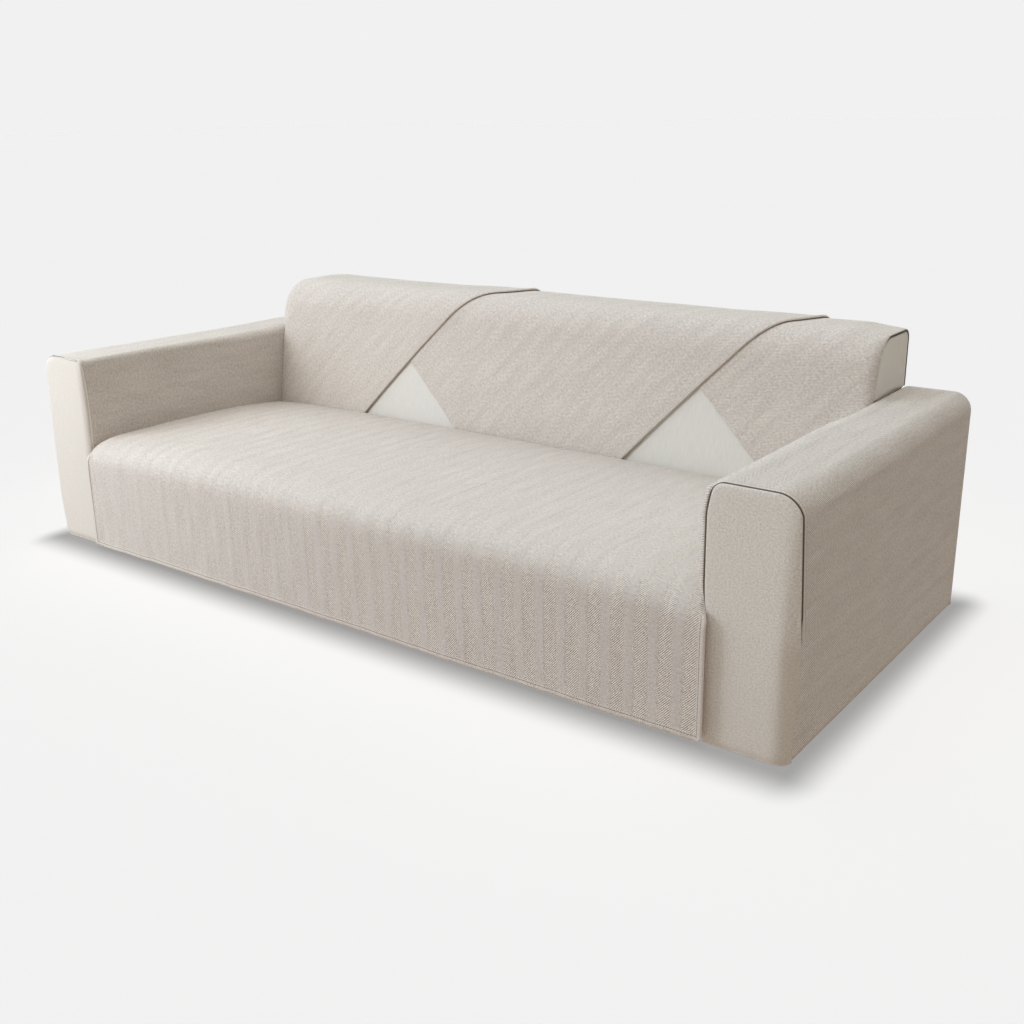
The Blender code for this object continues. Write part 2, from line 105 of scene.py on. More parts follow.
def tableValue(table, key):
    for (low, lowValue), (high, highValue) in zip(table, table[1:]):
        if key <= high:
            return between(lowValue, highValue, max(key - low, 0.0) / (high - low))
    return table[-1][1]


def softNoise(x, y, scale, seed):
    return noise.noise(Vector((x / scale, y / scale, seed)))


# Profiles: lists of (across, up) points with the cloth's outside on their left

def unitVector(start, end):
    length = dist(start, end)
    return ((end[0] - start[0]) / length, (end[1] - start[1]) / length)


def cornerArc(before, corner, after, radius, steps):
    back = unitVector(corner, before)
    onward = unitVector(corner, after)
    halfAngle = acos(back[0] * onward[0] + back[1] * onward[1]) / 2
    reach = radius / tan(halfAngle)
    bisector = unitVector((0.0, 0.0), (back[0] + onward[0], back[1] + onward[1]))
    centre = [corner[k] + bisector[k] * radius / sin(halfAngle) for k in (0, 1)]
    start = [corner[k] + back[k] * reach - centre[k] for k in (0, 1)]
    turnsLeft = back[0] * onward[1] - back[1] * onward[0] < 0
    sweep = (pi - 2 * halfAngle) * (1 if turnsLeft else -1)
    points = []
    for angle in evenSteps(0.0, sweep, steps):
        cosine, sine = cos(angle), sin(angle)
        points.append((centre[0] + start[0] * cosine - start[1] * sine,
                       centre[1] + start[0] * sine + start[1] * cosine))
    return points


def roundedPath(corners, steps, longest):
    path = [corners[0][:2]]
    for before, corner, after in zip(corners, corners[1:], corners[2:]):
        path += cornerArc(before[:2], corner[:2], after[:2], corner[2], steps)
    path.append(corners[-1][:2])
    fuller = [path[0]]
    for start, end in zip(path, path[1:]):
        count = ceil(dist(start, end) / longest)
        fuller += [(between(start[0], end[0], i / count), between(start[1], end[1], i / count))
                   for i in range(1, count + 1)]
    return fuller


def pathNormals(path):
    normals = []
    for i, point in enumerate(path):
        runs = []
        if i > 0:
            runs.append(unitVector(path[i - 1], point))
        if i < len(path) - 1:
            runs.append(unitVector(point, path[i + 1]))
        normals.append(unitVector((0.0, 0.0), (-sum(run[1] for run in runs),
                                               sum(run[0] for run in runs))))
    return normals


def insetPath(path, inset):
    return [(a - na * inset, b - nb * inset)
            for (a, b), (na, nb) in zip(path, pathNormals(path))]


def pathLengths(path):
    lengths = [0.0]
    for start, end in zip(path, path[1:]):
        lengths.append(lengths[-1] + dist(start, end))
    return lengths


# Stations across a sheet: close together by its two edges, even between them

def makeStations(fromLow, fromHigh, count):
    stations = [("low", away) for away in fromLow]
    stations += [("middle", i / count) for i in range(1, count)]
    return stations + [("high", away) for away in reversed(fromHigh)]


def stationAt(station, low, high, lowReach, highReach):
    kind, value = station
    if kind == "low":
        return low + value
    if kind == "high":
        return high - value
    return between(low + lowReach, high - highReach, value)


def foldRelief(away, hem):
    if away > hem["width"] * 2:
        return 0.0
    rise = ease(away / hem["edge"])
    fall = ease((away - hem["stitch"]) / (hem["width"] - hem["stitch"]))
    seam = exp(-((away - hem["stitch"]) / hem["thread"]) ** 2)
    return hem["height"] * rise * (1 - fall) - hem["groove"] * seam


# Materials

def linearColour(hexCode):
    parts = [int(hexCode[i:i + 2], 16) / 255 for i in (1, 3, 5)]
    return [p / 12.92 if p <= 0.04045 else ((p + 0.055) / 1.055) ** 2.4 for p in parts] + [1.0]


def setInputs(tree, node, inputs):
    for name, value in inputs.items():
        if isinstance(value, bpy.types.NodeSocket):
            tree.links.new(value, node.inputs[name])
        else:
            isHex = isinstance(value, str)
            node.inputs[name].default_value = linearColour(value) if isHex else value


def addNode(tree, kind, settings, *inputs, **named):
    # inputs come in the sockets' order or by name, or in one dictionary that may skip some
    node = tree.nodes.new("ShaderNode" + kind)
    for name, value in settings.items():
        setattr(node, name, value)
    if inputs and isinstance(inputs[0], dict):
        named = inputs[0]
    else:
        setInputs(tree, node, dict(enumerate(inputs)))
    setInputs(tree, node, named)
    return node.outputs


def newMaterial(name):
    material = bpy.data.materials.new(name)
    material.use_nodes = True
    tree = material.node_tree
    return material, partial(addNode, tree), partial(
        setInputs, tree, tree.nodes["Principled BSDF"])


times, plus, minus, timesPlus, below, least, most, fraction, sine, absolute = (
    {"operation": kind} for kind in ("MULTIPLY", "ADD", "SUBTRACT", "MULTIPLY_ADD", "LESS_THAN",
                                     "MINIMUM", "MAXIMUM", "FRACT", "SINE", "ABSOLUTE"))
colourMix = {"data_type": "RGBA"}


def herringboneCloth():
    # Brushed cotton-blend herringbone: wide columns of slanting ribs that catch the light,
    # with narrow flat ones between, where the ribs turn back. One pair of columns is 57 mm
    # wide and the ribs are 3.8 mm apart, as measured on the drop.
    weave = {"light": "#FCF2E7", "dark": "#9E9085", "flat": "#C9C0BA", "hem": "#E6DACE",
             "seam": "#A39689", "thread": "#B9ADA1",
             "period": 0.057, "litShare": 0.64, "pitch": 0.0038, "angle": radians(48),
             "wobble": 0.24, "borderSoftness": 24.0, "flatRib": 0.3, "hemRib": 0.75,
             "grainScale": 150.0, "patchScale": (46.0, 8.0, 1.0), "meanTone": 0.55,
             "ribTone": 0.40, "grainTone": 1.2, "patchTone": 0.27, "flatTone": 0.45,
             "hemWidth": 0.0145, "hemShare": 0.32, "stitch": 0.0110, "stitchLength": 0.0080,
             "stitchShare": 0.45, "seamHalfWidth": 0.0012}
    material, add, finish = newMaterial("brushedHerringbone")
    place = add("UVMap", {"uv_map": "weave"})[0]
    across, along, _ = add("SeparateXYZ", {}, place)
    edgePlace = add("UVMap", {"uv_map": "edge"})[0]
    edgeAlong, edgeAway, _ = add("SeparateXYZ", {}, edgePlace)

    wobble = add("TexNoise", {}, place, Scale=55.0, Detail=3.0)[0]
    pairs = add("Math", times, across, 1 / weave["period"])[0]
    inPair = add("Math", fraction, pairs)[0]
    loosePairs = add("Math", timesPlus, wobble, weave["wobble"], pairs)[0]
    inLoosePair = add("Math", fraction, loosePairs)[0]
    fromFlat = add("Math", minus, weave["litShare"], inLoosePair)[0]
    fromNext = add("Math", minus, inLoosePair, 1.0)[0]
    fromEnd = add("Math", most, fromFlat, fromNext)[0]
    fromBorder = add("Math", least, inLoosePair, fromEnd)[0]
    litWhole = add("Math", {**timesPlus, "use_clamp": True}, fromBorder,
                   weave["borderSoftness"], 0.5)[0]
    stripes = add("Attribute", {"attribute_name": "stripes"})[2]
    unlit = add("Math", minus, litWhole, 1.0)[0]
    lit = add("Math", timesPlus, unlit, stripes, 1.0)[0]

    # The ribs climb across the lit column and turn back over the flat one
    turnBack = weave["litShare"] / (1 - weave["litShare"])
    falling = add("Math", timesPlus, inPair, -turnBack, turnBack)[0]
    turned = add("Math", least, inPair, falling)[0]
    perMetre = 2 * pi / weave["pitch"]
    climbRate = -weave["period"] * sin(weave["angle"]) * perMetre
    climb = add("Math", times, turned, climbRate)[0]
    openPhase = add("Math", timesPlus, along, cos(weave["angle"]) * perMetre, climb)[0]

    # In the turned hem they run slanting off the edge instead
    inHem = add("Math", below, edgeAway, weave["hemWidth"])[0]
    slant = add("Math", plus, edgeAlong, edgeAway)[0]
    hemPhase = add("Math", times, slant, weave["hemRib"] * perMetre)[0]
    phase = add("Mix", {}, {0: inHem, 2: openPhase, 3: hemPhase})[0]
    wave = add("Math", sine, phase)[0]
    depth = add("Math", timesPlus, lit, 1 - weave["flatRib"], weave["flatRib"])[0]
    crisp = add("Attribute", {"attribute_name": "crisp"})[2]
    ribDepth = add("Math", times, depth, crisp)[0]
    rib = add("Math", times, wave, ribDepth)[0]

    grain = add("TexNoise", {}, place, Scale=weave["grainScale"], Detail=3.0, Roughness=0.8)[0]
    patchPlace = add("Mapping", {}, place, Scale=weave["patchScale"])[0]
    patch = add("TexNoise", {}, patchPlace, Scale=1.0, Detail=3.0)[0]
    middle = weave["meanTone"] - (weave["grainTone"] + weave["patchTone"]) / 2
    ribTone = add("Math", timesPlus, rib, weave["ribTone"], middle)[0]
    grainTone = add("Math", timesPlus, grain, weave["grainTone"], ribTone)[0]
    tone = add("Math", timesPlus, patch, weave["patchTone"], grainTone)[0]
    ribbed = add("Mix", colourMix, {0: tone, 6: weave["dark"], 7: weave["light"]})[2]
    # the flat columns are painted darker and cooler: partly the weave's own pattern, partly
    # painted shade, as their ribs face away from the light
    flatShade = add("Math", timesPlus, lit, -weave["flatTone"], weave["flatTone"])[0]
    striped = add("Mix", colourMix, {0: flatShade, 6: ribbed, 7: weave["flat"]})[2]

    # Hem: a paler double layer, its paler tone partly a painted highlight on the raised fold;
    # a sunk seam and stitches 8 mm long with short gaps
    hemHighlightTone = add("Math", times, inHem, weave["hemShare"])[0]
    hemmed = add("Mix", colourMix, {0: hemHighlightTone, 6: striped, 7: weave["hem"]})[2]
    fromSeam = add("Math", minus, edgeAway, weave["stitch"])[0]
    seamAway = add("Math", absolute, fromSeam)[0]
    inSeam = add("Math", below, seamAway, weave["seamHalfWidth"])[0]
    stitches = add("Math", times, edgeAlong, 1 / weave["stitchLength"])[0]
    inStitch = add("Math", fraction, stitches)[0]
    onThread = add("Math", below, inStitch, weave["stitchShare"])[0]
    seam = add("Mix", colourMix, {0: onThread, 6: weave["seam"], 7: weave["thread"]})[2]
    colour = add("Mix", colourMix, {0: inSeam, 6: hemmed, 7: seam})[2]

    ribHeight = add("Math", timesPlus, lit, 0.3, rib)[0]
    height = add("Math", timesPlus, grain, 1.2, ribHeight)[0]
    bump = add("Bump", {}, Strength=0.6, Distance=0.0009, Height=height)[0]
    finish({"Base Color": colour, "Normal": bump, "Roughness": 0.92,
            "Specular IOR Level": 0.12, "Sheen Weight": 0.15, "Sheen Roughness": 0.55})
    return material


def plainCloth():
    # Cream cotton canvas in plain weave, felted on the arm fronts, where a painted shade darkens
    # it to a browner tone, more towards the outer foot, where the cream also runs into the
    # brushed cloth's tone. Its real threads are about 0.8 mm apart; they are drawn at 2 mm, so
    # that they show.
    weave = {"light": "#FFFAF3", "dark": "#CEC7BC", "foot": "#C9BBAC", "thread": 0.0020,
             "slubScale": (420.0, 26.0, 1.0), "slubTone": 0.4, "meanTone": 0.3,
             "grainScale": 260.0, "plainGrain": 0.3, "feltedGrain": 1.9,
             "threadTone": 0.12, "shadeCreamShare": 0.35}
    material, add, finish = newMaterial("creamCanvas")
    place = add("UVMap", {"uv_map": "weave"})[0]
    perThread = pi / weave["thread"]
    wave = add("VectorMath", {"operation": "SCALE"}, {0: place, 3: perThread})[0]
    ridges = add("VectorMath", sine, wave)[0]
    warp, weft, _ = add("SeparateXYZ", {}, ridges)
    plainThreads = add("Math", times, warp, weft)[0]
    slubPlace = add("Mapping", {}, place, Scale=weave["slubScale"])[0]
    slub = add("TexNoise", {}, slubPlace, Scale=1.0, Detail=2.0)[0]
    grain = add("TexNoise", {}, place, Scale=weave["grainScale"], Detail=2.0, Roughness=0.7)[0]
    felted = add("Attribute", {"attribute_name": "felted"})[2]
    acrossFelt, upFelt, _ = add("SeparateXYZ", {}, wave)
    slanting = add("Math", minus, upFelt, acrossFelt)[0]
    twill = add("Math", sine, slanting)[0]
    threads = add("Mix", {}, {0: felted, 2: plainThreads, 3: twill})[0]
    grainSize = add("Math", timesPlus, felted, weave["feltedGrain"], weave["plainGrain"])[0]
    grainFrom = add("Math", minus, grain, 0.5)[0]
    slubTone = add("Math", timesPlus, slub, weave["slubTone"], weave["meanTone"])[0]
    threadTone = add("Math", timesPlus, threads, weave["threadTone"], slubTone)[0]
    tone = add("Math", timesPlus, grainFrom, grainSize, threadTone)[0]
    cream = add("Mix", colourMix, {0: tone, 6: weave["dark"], 7: weave["light"]})[2]
    # painted shade: the arm fronts' shade attribute mixes the cream towards a darker, browner
    # tone
    shade = add("Attribute", {"attribute_name": "shade"})[2]
    paintedShadeTone = add("Mix", colourMix, {0: weave["shadeCreamShare"], 6: weave["foot"], 7: cream})[2]
    colour = add("Mix", colourMix, {0: shade, 6: cream, 7: paintedShadeTone})[2]
    height = add("Math", timesPlus, grain, 1.5, threads)[0]
    bump = add("Bump", {}, Strength=0.4, Distance=0.0006, Height=height)[0]
    finish({"Base Color": colour, "Normal": bump, "Roughness": 0.88,
            "Specular IOR Level": 0.15, "Sheen Weight": 0.08, "Sheen Roughness": 0.5})
    return material


def pipingCloth():
    # Bias-cut cotton over a cord, dark brown, and cream down the far arm's inner side
    yarn = {"brown": "#54473C", "lightBrown": "#7A6A5B", "cream": "#F0EADF", "scale": 400.0}
    material, add, finish = newMaterial("cottonPiping")
    place = add("TexCoord", {})[3]
    fibres = add("TexNoise", {}, place, Scale=yarn["scale"], Detail=2.0)[0]
    brown = add("Mix", colourMix, {0: fibres, 6: yarn["brown"], 7: yarn["lightBrown"]})[2]
    pale = add("Attribute", {"attribute_name": "pale"})[2]
    colour = add("Mix", colourMix, {0: pale, 6: brown, 7: yarn["cream"]})[2]
    bump = add("Bump", {}, Strength=0.5, Distance=0.0004, Height=fibres)[0]
    finish({"Base Color": colour, "Normal": bump, "Roughness": 0.85,
            "Specular IOR Level": 0.15})
    return material


cloths = {
    "herringbone": {"material": herringboneCloth(), "slot": "herringbone_cloth",
                    "thickness": 0.0025},
    "plain": {"material": plainCloth(), "slot": "plain_cloth", "thickness": 0.0020},
    "piping": {"material": pipingCloth(), "slot": "piping"},
}
print("materials made")


def nodeName(pieceName):
    return re.sub("([A-Z])", r"_\1", pieceName).lower()      # armCoverLeft: arm_cover_left


def addPiece(name, mesh, cloth):
    mesh.materials.append(cloths[cloth]["material"])
    piece = bpy.data.objects.new(name, mesh)
    scene.collection.objects.link(piece)
    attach(piece, "root")
    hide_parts(nodeName(name))
    return piece


noHem = (0.0, 1.0)


def makeSheet(name, cloth, columns, rows, place, weave, relief=None, edge=None, side=1,
              marks=None):
    # place, weave, relief and edge give the outside point at a (column, row), its place in
    # the cloth, its lift and its (along, away) from the hem; marks are vertex attributes
    mesh = bpy.data.meshes.new(name)
    grid = bmesh.new()
    bmesh.ops.create_grid(grid, x_segments=columns - 1, y_segments=rows - 1, size=0.5)
    stations = []
    for vertex in grid.verts:
        stations.append((round((vertex.co.x + 0.5) * (columns - 1)),
                         round((vertex.co.y + 0.5) * (rows - 1))))
        vertex.co = place(stations[-1])
    if side < 0:
        bmesh.ops.reverse_faces(grid, faces=grid.faces)
    grid.normal_update()
    if relief:
        lifts = [vertex.normal * relief(at) for vertex, at in zip(grid.verts, stations)]
        for vertex, lift in zip(grid.verts, lifts):
            vertex.co += lift
    grid.verts.index_update()
    weaveMap = grid.loops.layers.uv.new("weave")
    edgeMap = grid.loops.layers.uv.new("edge")
    for face in grid.faces:
        face.smooth = True
        for loop in face.loops:
            at = stations[loop.vert.index]
            loop[weaveMap].uv = weave(at)
            loop[edgeMap].uv = edge(at) if edge else noHem
    for mark, strength in (marks or {}).items():
        layer = grid.verts.layers.float.new(mark)
        for vertex, at in zip(grid.verts, stations):
            vertex[layer] = strength(at) if callable(strength) else strength
    grid.to_mesh(mesh)
    grid.free()
    sheet = addPiece(name, mesh, cloth)
    solidify = sheet.modifiers.new("thickness", "SOLIDIFY")
    solidify.thickness = cloths[cloth]["thickness"]
    solidify.offset = -1
    solidify.use_even_offset = True
    return sheet


def nearest(*hems):
    return min(hems, key=lambda hem: hem[1])


# Seat cover: crowned top, soft front roll and a long drop with turned hems

seat = {
    "edgeHeight": 0.328, "crown": 0.018, "crownPower": 5, "farEdgeFall": 0.85,
    "farReach": 0.0075, "rearFall": 0.024, "levelDepth": 0.280, "rearDepth": 0.737,
    "tuck": 0.034, "tuckRadius": 0.012, "sideTuck": 0.0035, "sideTuckWidth": 0.014,
    "rollDepth": 0.132, "rollHeight": 0.077, "rollPower": 2.5,
    "dropHalfWidth": 1.029, "dropFlare": 0.007, "widensAt": -0.004, "widensOver": 0.013,
    "dropFold": 0.0050, "hemHeight": 0.0095, "hemWave": 0.0015, "hemRipple": 0.0012,
    "hemCorner": 0.014, "slack": 0.0012, "slackWidth": 0.22, "fineSlack": 0.0007,
    "fineSlackWidth": 0.09, "crease": 0.0016, "creaseSpacing": 0.021, "creaseReach": 0.05,
    "weaveShift": 0.0145, "columns": 190, "topSpacing": 0.011, "rollSteps": 20,
    "dropSteps": 18,
    "tuckShare": 0.6, "tuckSteps": 6, "hemWaveRate": 4.6, "rippleWidth": 0.06,
    "foldPower": 1.5,
    # spans, as (start, length): where the further edge runs out, and the creases
    "farReachEnd": (0.25, 0.35), "creaseTop": (0.300, -0.05), "creaseFoot": (0.05, 0.13),
    "creaseStart": (0.0, 0.02),
    # how clearly the stripes show at the far and near end, on the top and on the drop, and
    # the spans that they rise over
    "topStripes": (0.30, 0.65), "topRise": (-0.8, 1.4), "dropStripes": (0.55, 1.0),
    "dropRise": (-0.8, 1.2), "topCrisp": 0.9,
}


def seatTop(depth):
    beyond = max(depth - seat["levelDepth"], 0.0) / (seat["rearDepth"] - seat["levelDepth"])
    return seat["edgeHeight"] - seat["rearFall"] * beyond ** 3


def seatSection(crown):
    rear, radius = seat["rearDepth"], seat["tuckRadius"]
    turnTop = seatTop(rear - radius) + crown
    section = [(rear, turnTop - seat["tuck"]),
               (rear, turnTop - seat["tuck"] * seat["tuckShare"])]
    for angle in evenSteps(0.0, pi / 2, seat["tuckSteps"]):
        section.append((rear - radius * (1 - cos(angle)),
                        turnTop - radius * (1 - sin(angle))))
    frontOfTop = seat["rollDepth"] - cover["dropStandoff"]
    count = round((rear - radius - frontOfTop) / seat["topSpacing"])
    section += [(depth, seatTop(depth) + crown)
                for depth in evenSteps(rear - radius, frontOfTop, count)[1:]]
    top, power = seat["edgeHeight"] + crown, 2 / seat["rollPower"]
    for angle in evenSteps(0.0, pi / 2, seat["rollSteps"])[1:]:
        share = 1 - sin(angle) ** power
        height = top - seat["rollHeight"] * (1 - max(cos(angle), 0.0) ** power)
        section.append((share * seat["rollDepth"] - cover["dropStandoff"], height))
    return section


def dropRipple(x):
    waves = ((1.0, 5.1, 0.6), (0.7, 9.7, 2.1), (0.5, 16.3, -0.4))
    total = sum(size * sin(rate * x + start) for size, rate, start in waves)
    return 0.5 + 0.5 * total / sum(size for size, _rate, _start in waves)


def roundHemCorner(awaySide, awayHem, radius):
    a, b = 1 - awaySide / radius, 1 - awayHem / radius
    if a <= 0 or b <= 0:
        return awaySide, awayHem
    shrink = max(a, b) / hypot(a, b)
    return radius * (1 - a * shrink), radius * (1 - b * shrink)


def makeSeatCover():
    columns = makeStations(hemStations, hemStations, seat["columns"])
    drops = makeStations((0.0,), hemStations, seat["dropSteps"])
    flatSection = seatSection(0.0)
    topRows = len(flatSection)
    topLengths = pathLengths(flatSection)

    def widthAt(depth):
        spread = ease((seat["widensAt"] - depth) / seat["widensOver"])
        return between(seatHalfWidth, seat["dropHalfWidth"], spread), spread

    sections = {}

    @cache
    def spot(at):
        column, row = at
        topRow = min(row, topRows - 1)
        flatDepth = flatSection[topRow][0]
        half, spread = widthAt(flatDepth)
        further = seat["farReach"] * (1 - spread) * (1 - ramp(flatDepth, seat["farReachEnd"]))
        x = stationAt(columns[column], -half - further, half, hemReach, hemReach)
        if column not in sections:
            fall = seat["farEdgeFall"] if x < 0 else 1.0
            edgeShare = min(abs(x / half), 1.0)
            crownShare = 1 - fall * edgeShare ** seat["crownPower"]
            sections[column] = seatSection(seat["crown"] * crownShare)
        depth, height = sections[column][topRow]
        awaySide, awayHem, down = half + (further if x < 0 else 0.0) - abs(x), 1.0, 0.0
        if row >= topRows:
            hem = seat["hemHeight"] - seat["hemWave"] * sin(seat["hemWaveRate"] * x)
            hem += seat["hemRipple"] * softNoise(x, 0.0, seat["rippleWidth"], 4.4)
            length = height - hem
            awayHem = length - stationAt(drops[row - topRows + 1], 0.0, length, 0.0, hemReach)
            awaySide, awayHem = roundHemCorner(awaySide, awayHem, seat["hemCorner"])
            down = 1 - awayHem / length
            flare = seat["dropFlare"] * down * ease(-x / half)
            x = copysign(half - awaySide + flare, x)
            depth += seat["dropFold"] * dropRipple(x) * down ** seat["foldPower"]
            height = hem + awayHem
        return x, depth, height, awaySide, awayHem, down, spread

    def place(at):
        x, depth, height = spot(at)[:3]
        return (x, yAt(depth), height)

    def relief(at):
        x, depth, height, awaySide, awayHem, _down, spread = spot(at)
        lift = foldRelief(awaySide, wideHem) * spread + foldRelief(awayHem, wideHem)
        tucked = 1 - ease(awaySide / seat["sideTuckWidth"])
        lift -= seat["sideTuck"] * (1 - spread) * tucked
        lift += seat["slack"] * softNoise(x, depth - height, seat["slackWidth"], 1.7)
        lift += seat["fineSlack"] * softNoise(x, depth - height, seat["fineSlackWidth"], 5.2)
        # short upright creases where the left end is pulled down over its corner
        fromEnd = x + seat["dropHalfWidth"]
        onDrop = ramp(height, seat["creaseTop"]) * ramp(height, seat["creaseFoot"])
        wave = sin(2 * pi * fromEnd / seat["creaseSpacing"])
        wave *= exp(-fromEnd / seat["creaseReach"]) * ramp(fromEnd, seat["creaseStart"])
        return lift + seat["crease"] * onDrop * spread * wave

    def weave(at):
        column, row = at
        x, _depth, height = spot(at)[:3]
        length = topLengths[min(row, topRows - 1)]
        if row >= topRows:
            length += sections[column][-1][1] - height
        return (x - seat["weaveShift"], -length)

    def edge(at):
        x, _depth, height, awaySide, awayHem, _down, spread = spot(at)
        sideHem = (height, awaySide) if spread > 0.5 else noHem
        return nearest(sideHem, (x, awayHem))

    def onDrop(at):
        return ease(spot(at)[5] * 6 + 0.3)

    def crisp(at):
        return between(seat["topCrisp"], 1.0, onDrop(at))

    def stripes(at):
        # they stand out on the drop and more and more towards its near end
        x = spot(at)[0]
        onTop = between(*seat["topStripes"], ramp(x, seat["topRise"]))
        lower = between(*seat["dropStripes"], ramp(x, seat["dropRise"]))
        return between(onTop, lower, onDrop(at))

    sheet = makeSheet("seatCover", "herringbone", len(columns), topRows + len(drops) - 1, place,
                      weave, relief, edge, -1, {"crisp": crisp, "stripes": stripes})


makeSeatCover()
print("seat cover made")

# Arms

arm = {
    "innerRadius": 0.030, "outerRadius": 0.045, "cornerSteps": 12,
    "tuckHeight": 0.262, "rearRadius": 0.012, "rearTurn": 0.024, "stations": 66,
    "seamTop": 0.010, "seamShoulder": 0.014, "seamOuter": 0.040, "seamHem": 0.030,
    "pipingEnd": 0.270, "pipingRadius": 0.0025, "pipingSink": 0.15, "pipingSinkAtSeat": 1.1,
    "endRadius": 0.45, "endSink": 0.7,      # the piping's end, in shares of its radius
    "rollTop": 0.014, "rimGap": 0.0004, "spacing": 0.013, "hemShare": 0.6, "slack": 0.0010,
    "footTuck": 0.004, "frontFootTuck": 0.005, "frontSlack": 0.0006, "slackWidth": 0.25,
    "frontSlackWidth": 0.16, "rearSteps": 6, "padTopFade": 0.070,
    # spans, as (start, length), up the arm or back from its front
    "innerFoot": (0.255, 0.100), "padEnd": (0.50, 0.2), "cornerEnd": (0.45, 0.20),
    "riseFoot": (0.30, 0.20), "riseEnd": (0.0, 0.75), "bowEnd": (0.45, 0.45),
    "leanEnd": (0.25, 0.35), "swellEnd": (0.55, 0.15), "footFade": (0.0, 0.018),
    "frontFootFade": (0.0, 0.016),
    # the painted shade on the front, a darker, browner tone, at the outer foot partly the brushed
    # cloth's own tone running into the cream: at its top, what its inner and outer foot add to
    # that, and all over the far arm's front
    "topShade": 0.3, "innerShade": 0.30, "outerShade": 0.65, "farShade": 0.72,
    "innerShadeTop": (0.0, 0.35), "outerShadeTop": (0.22, 0.08),
}
# The far arm (-1) shows its inner side, the near arm (1) its outer side: how deep the inner
# seam lies by height, how tightly the front's inner top corner turns, how far the padded
# inner side bows out above the seat, swells behind the seam and is drawn in at it, how wide
# the front rolls to each side, how far the outer side bows and the inner side leans outwards
# at the front by height, and how much the top rises there
armShapes = {
    -1: {"seamInner": ((0.262, 0.018), (0.308, 0.018), (0.363, 0.018), (0.433, 0.018),
                       (0.486, 0.017), (0.530, 0.012), (0.559, 0.006)),
         "topCorner": 0.018, "pad": 0.0, "swell": 0.0010, "swellReach": 0.020, "drawn": 0.0,
         "rollInner": 0.024, "rollOuter": 0.012, "frontRise": 0.010,
         "bow": ((0.0, 0.022), (0.13, 0.033), (0.31, 0.027), (0.52, 0.016), (0.559, 0.008)),
         "lean": ((0.20, 0.0), (0.27, 0.019), (0.29, 0.021), (0.345, 0.0185), (0.39, 0.0165),
                  (0.44, 0.0165), (0.50, 0.0165), (0.559, 0.014)),
         "crisp": 0.5, "stripes": 0.0, "felted": 0.5},
    1: {"seamInner": ((0.529, 0.007), (0.559, 0.010)),
        "topCorner": 0.030, "pad": 0.010, "swell": 0.0125, "swellReach": 0.014, "drawn": 0.006,
        "rollInner": 0.011, "rollOuter": 0.034, "frontRise": 0.0,
        "bow": ((0.0, 0.001), (0.13, 0.004), (0.52, 0.004), (0.559, 0.0)),
        "lean": ((0.0, 0.0), (0.559, 0.0)),
        "crisp": 1.0, "stripes": 0.22, "felted": 1.0},
}
roundStart = armTop - arm["innerRadius"]


def armOutline():
    corners = [(armInnerX, arm["tuckHeight"], 0.0),
               (armInnerX, armTop, arm["innerRadius"]),
               (halfWidth, armTop, arm["outerRadius"]),
               (halfWidth, 0.0, 0.0)]
    return roundedPath(corners, arm["cornerSteps"], arm["spacing"])


def seamDepth(side, x, z):
    outerSide = ((0.0, arm["seamHem"]), (arm["pipingEnd"], arm["seamOuter"]),
                 (armTop - arm["outerRadius"], arm["seamShoulder"]),
                 (armTop, arm["seamTop"]))
    across = ease((x - armInnerX) / cover["armWidth"])
    return between(tableValue(armShapes[side]["seamInner"], z), tableValue(outerSide, z), across)


def cornerDraw(radius, z, top=armTop):
    into = max(z - (top - radius), 0.0)
    return radius - sqrt(max(radius ** 2 - into ** 2, 0.0))


def pipedShare(x, z):
    # 1 beside the piping, 0 below its end on the outer side
    if x < armMiddleX:
        return 1.0
    return ease((z - arm["pipingEnd"] + 0.02) / 0.02)


def hemmed(side, x, z):
    # the far arm's inner side runs into its pale piping with no hem to see
    return pipedShare(x, z) > 0.5 and not (side < 0 and x < armMiddleX and z < 0.552)


def aboveSeat(depth, z):
    # 1 where the arm's inner side stands free of the seat, which rolls down to the front
    return ease((z - 0.285 - 0.05 * min(depth / 0.05, 1.0)) / 0.030)


def innerEnds(z, topFade):
    # 0 at the seat and at the arm's top, 1 between them
    return ramp(z, arm["innerFoot"]) * ease((armTop - z) / topFade)


def padding(side, x, depth, z):
    if x > armMiddleX:
        return 0.0
    fade = aboveSeat(depth, z) * (1 - ramp(depth, arm["padEnd"]))
    return armShapes[side]["pad"] * innerEnds(z, arm["padTopFade"]) * fade


def seamDrawn(side, x, z):
    if x > armMiddleX:
        return 0.0
    return armShapes[side]["drawn"] * innerEnds(z, arm["innerRadius"])


def cornerFill(side, x, z, depth):
    # how far the inner top corner stands out of its round outline where it turns tightly
    radius, tight = arm["innerRadius"], armShapes[side]["topCorner"]
    inward, up = armInnerX + radius - x, z - roundStart
    if tight == radius or inward < 0 or up < 0:
        return 0.0
    length = hypot(inward, up)
    inward, up = inward / length, up / length
    reach = min(radius / max(inward, 1e-6), radius / max(up, 1e-6))
    toCentre = (radius - tight) * (inward + up)
    under = toCentre ** 2 - 2 * (radius - tight) ** 2 + tight ** 2
    if min(inward, up) * reach > radius - tight and under > 0:
        reach = toCentre + sqrt(under)
    return (reach - radius) * (1 - ramp(depth, arm["cornerEnd"]))


def frontRise(side, z, depth):
    high = ramp(z, arm["riseFoot"])
    return armShapes[side]["frontRise"] * high * (1 - ramp(depth, arm["riseEnd"]))


def sideShift(side, x, depth, z):
    # how far the sides stand out from the straight outline: the outer one by its bow, the
    # inner one by its lean
    fromMiddle = (x - armMiddleX) / (cover["armWidth"] / 2)
    if fromMiddle > 0:
        bow = tableValue(armShapes[side]["bow"], z) * (1 - ramp(depth, arm["bowEnd"]))
        return ease(fromMiddle) * bow
    lean = tableValue(armShapes[side]["lean"], z) * (1 - ramp(depth, arm["leanEnd"]))
    return ease(-fromMiddle) * lean


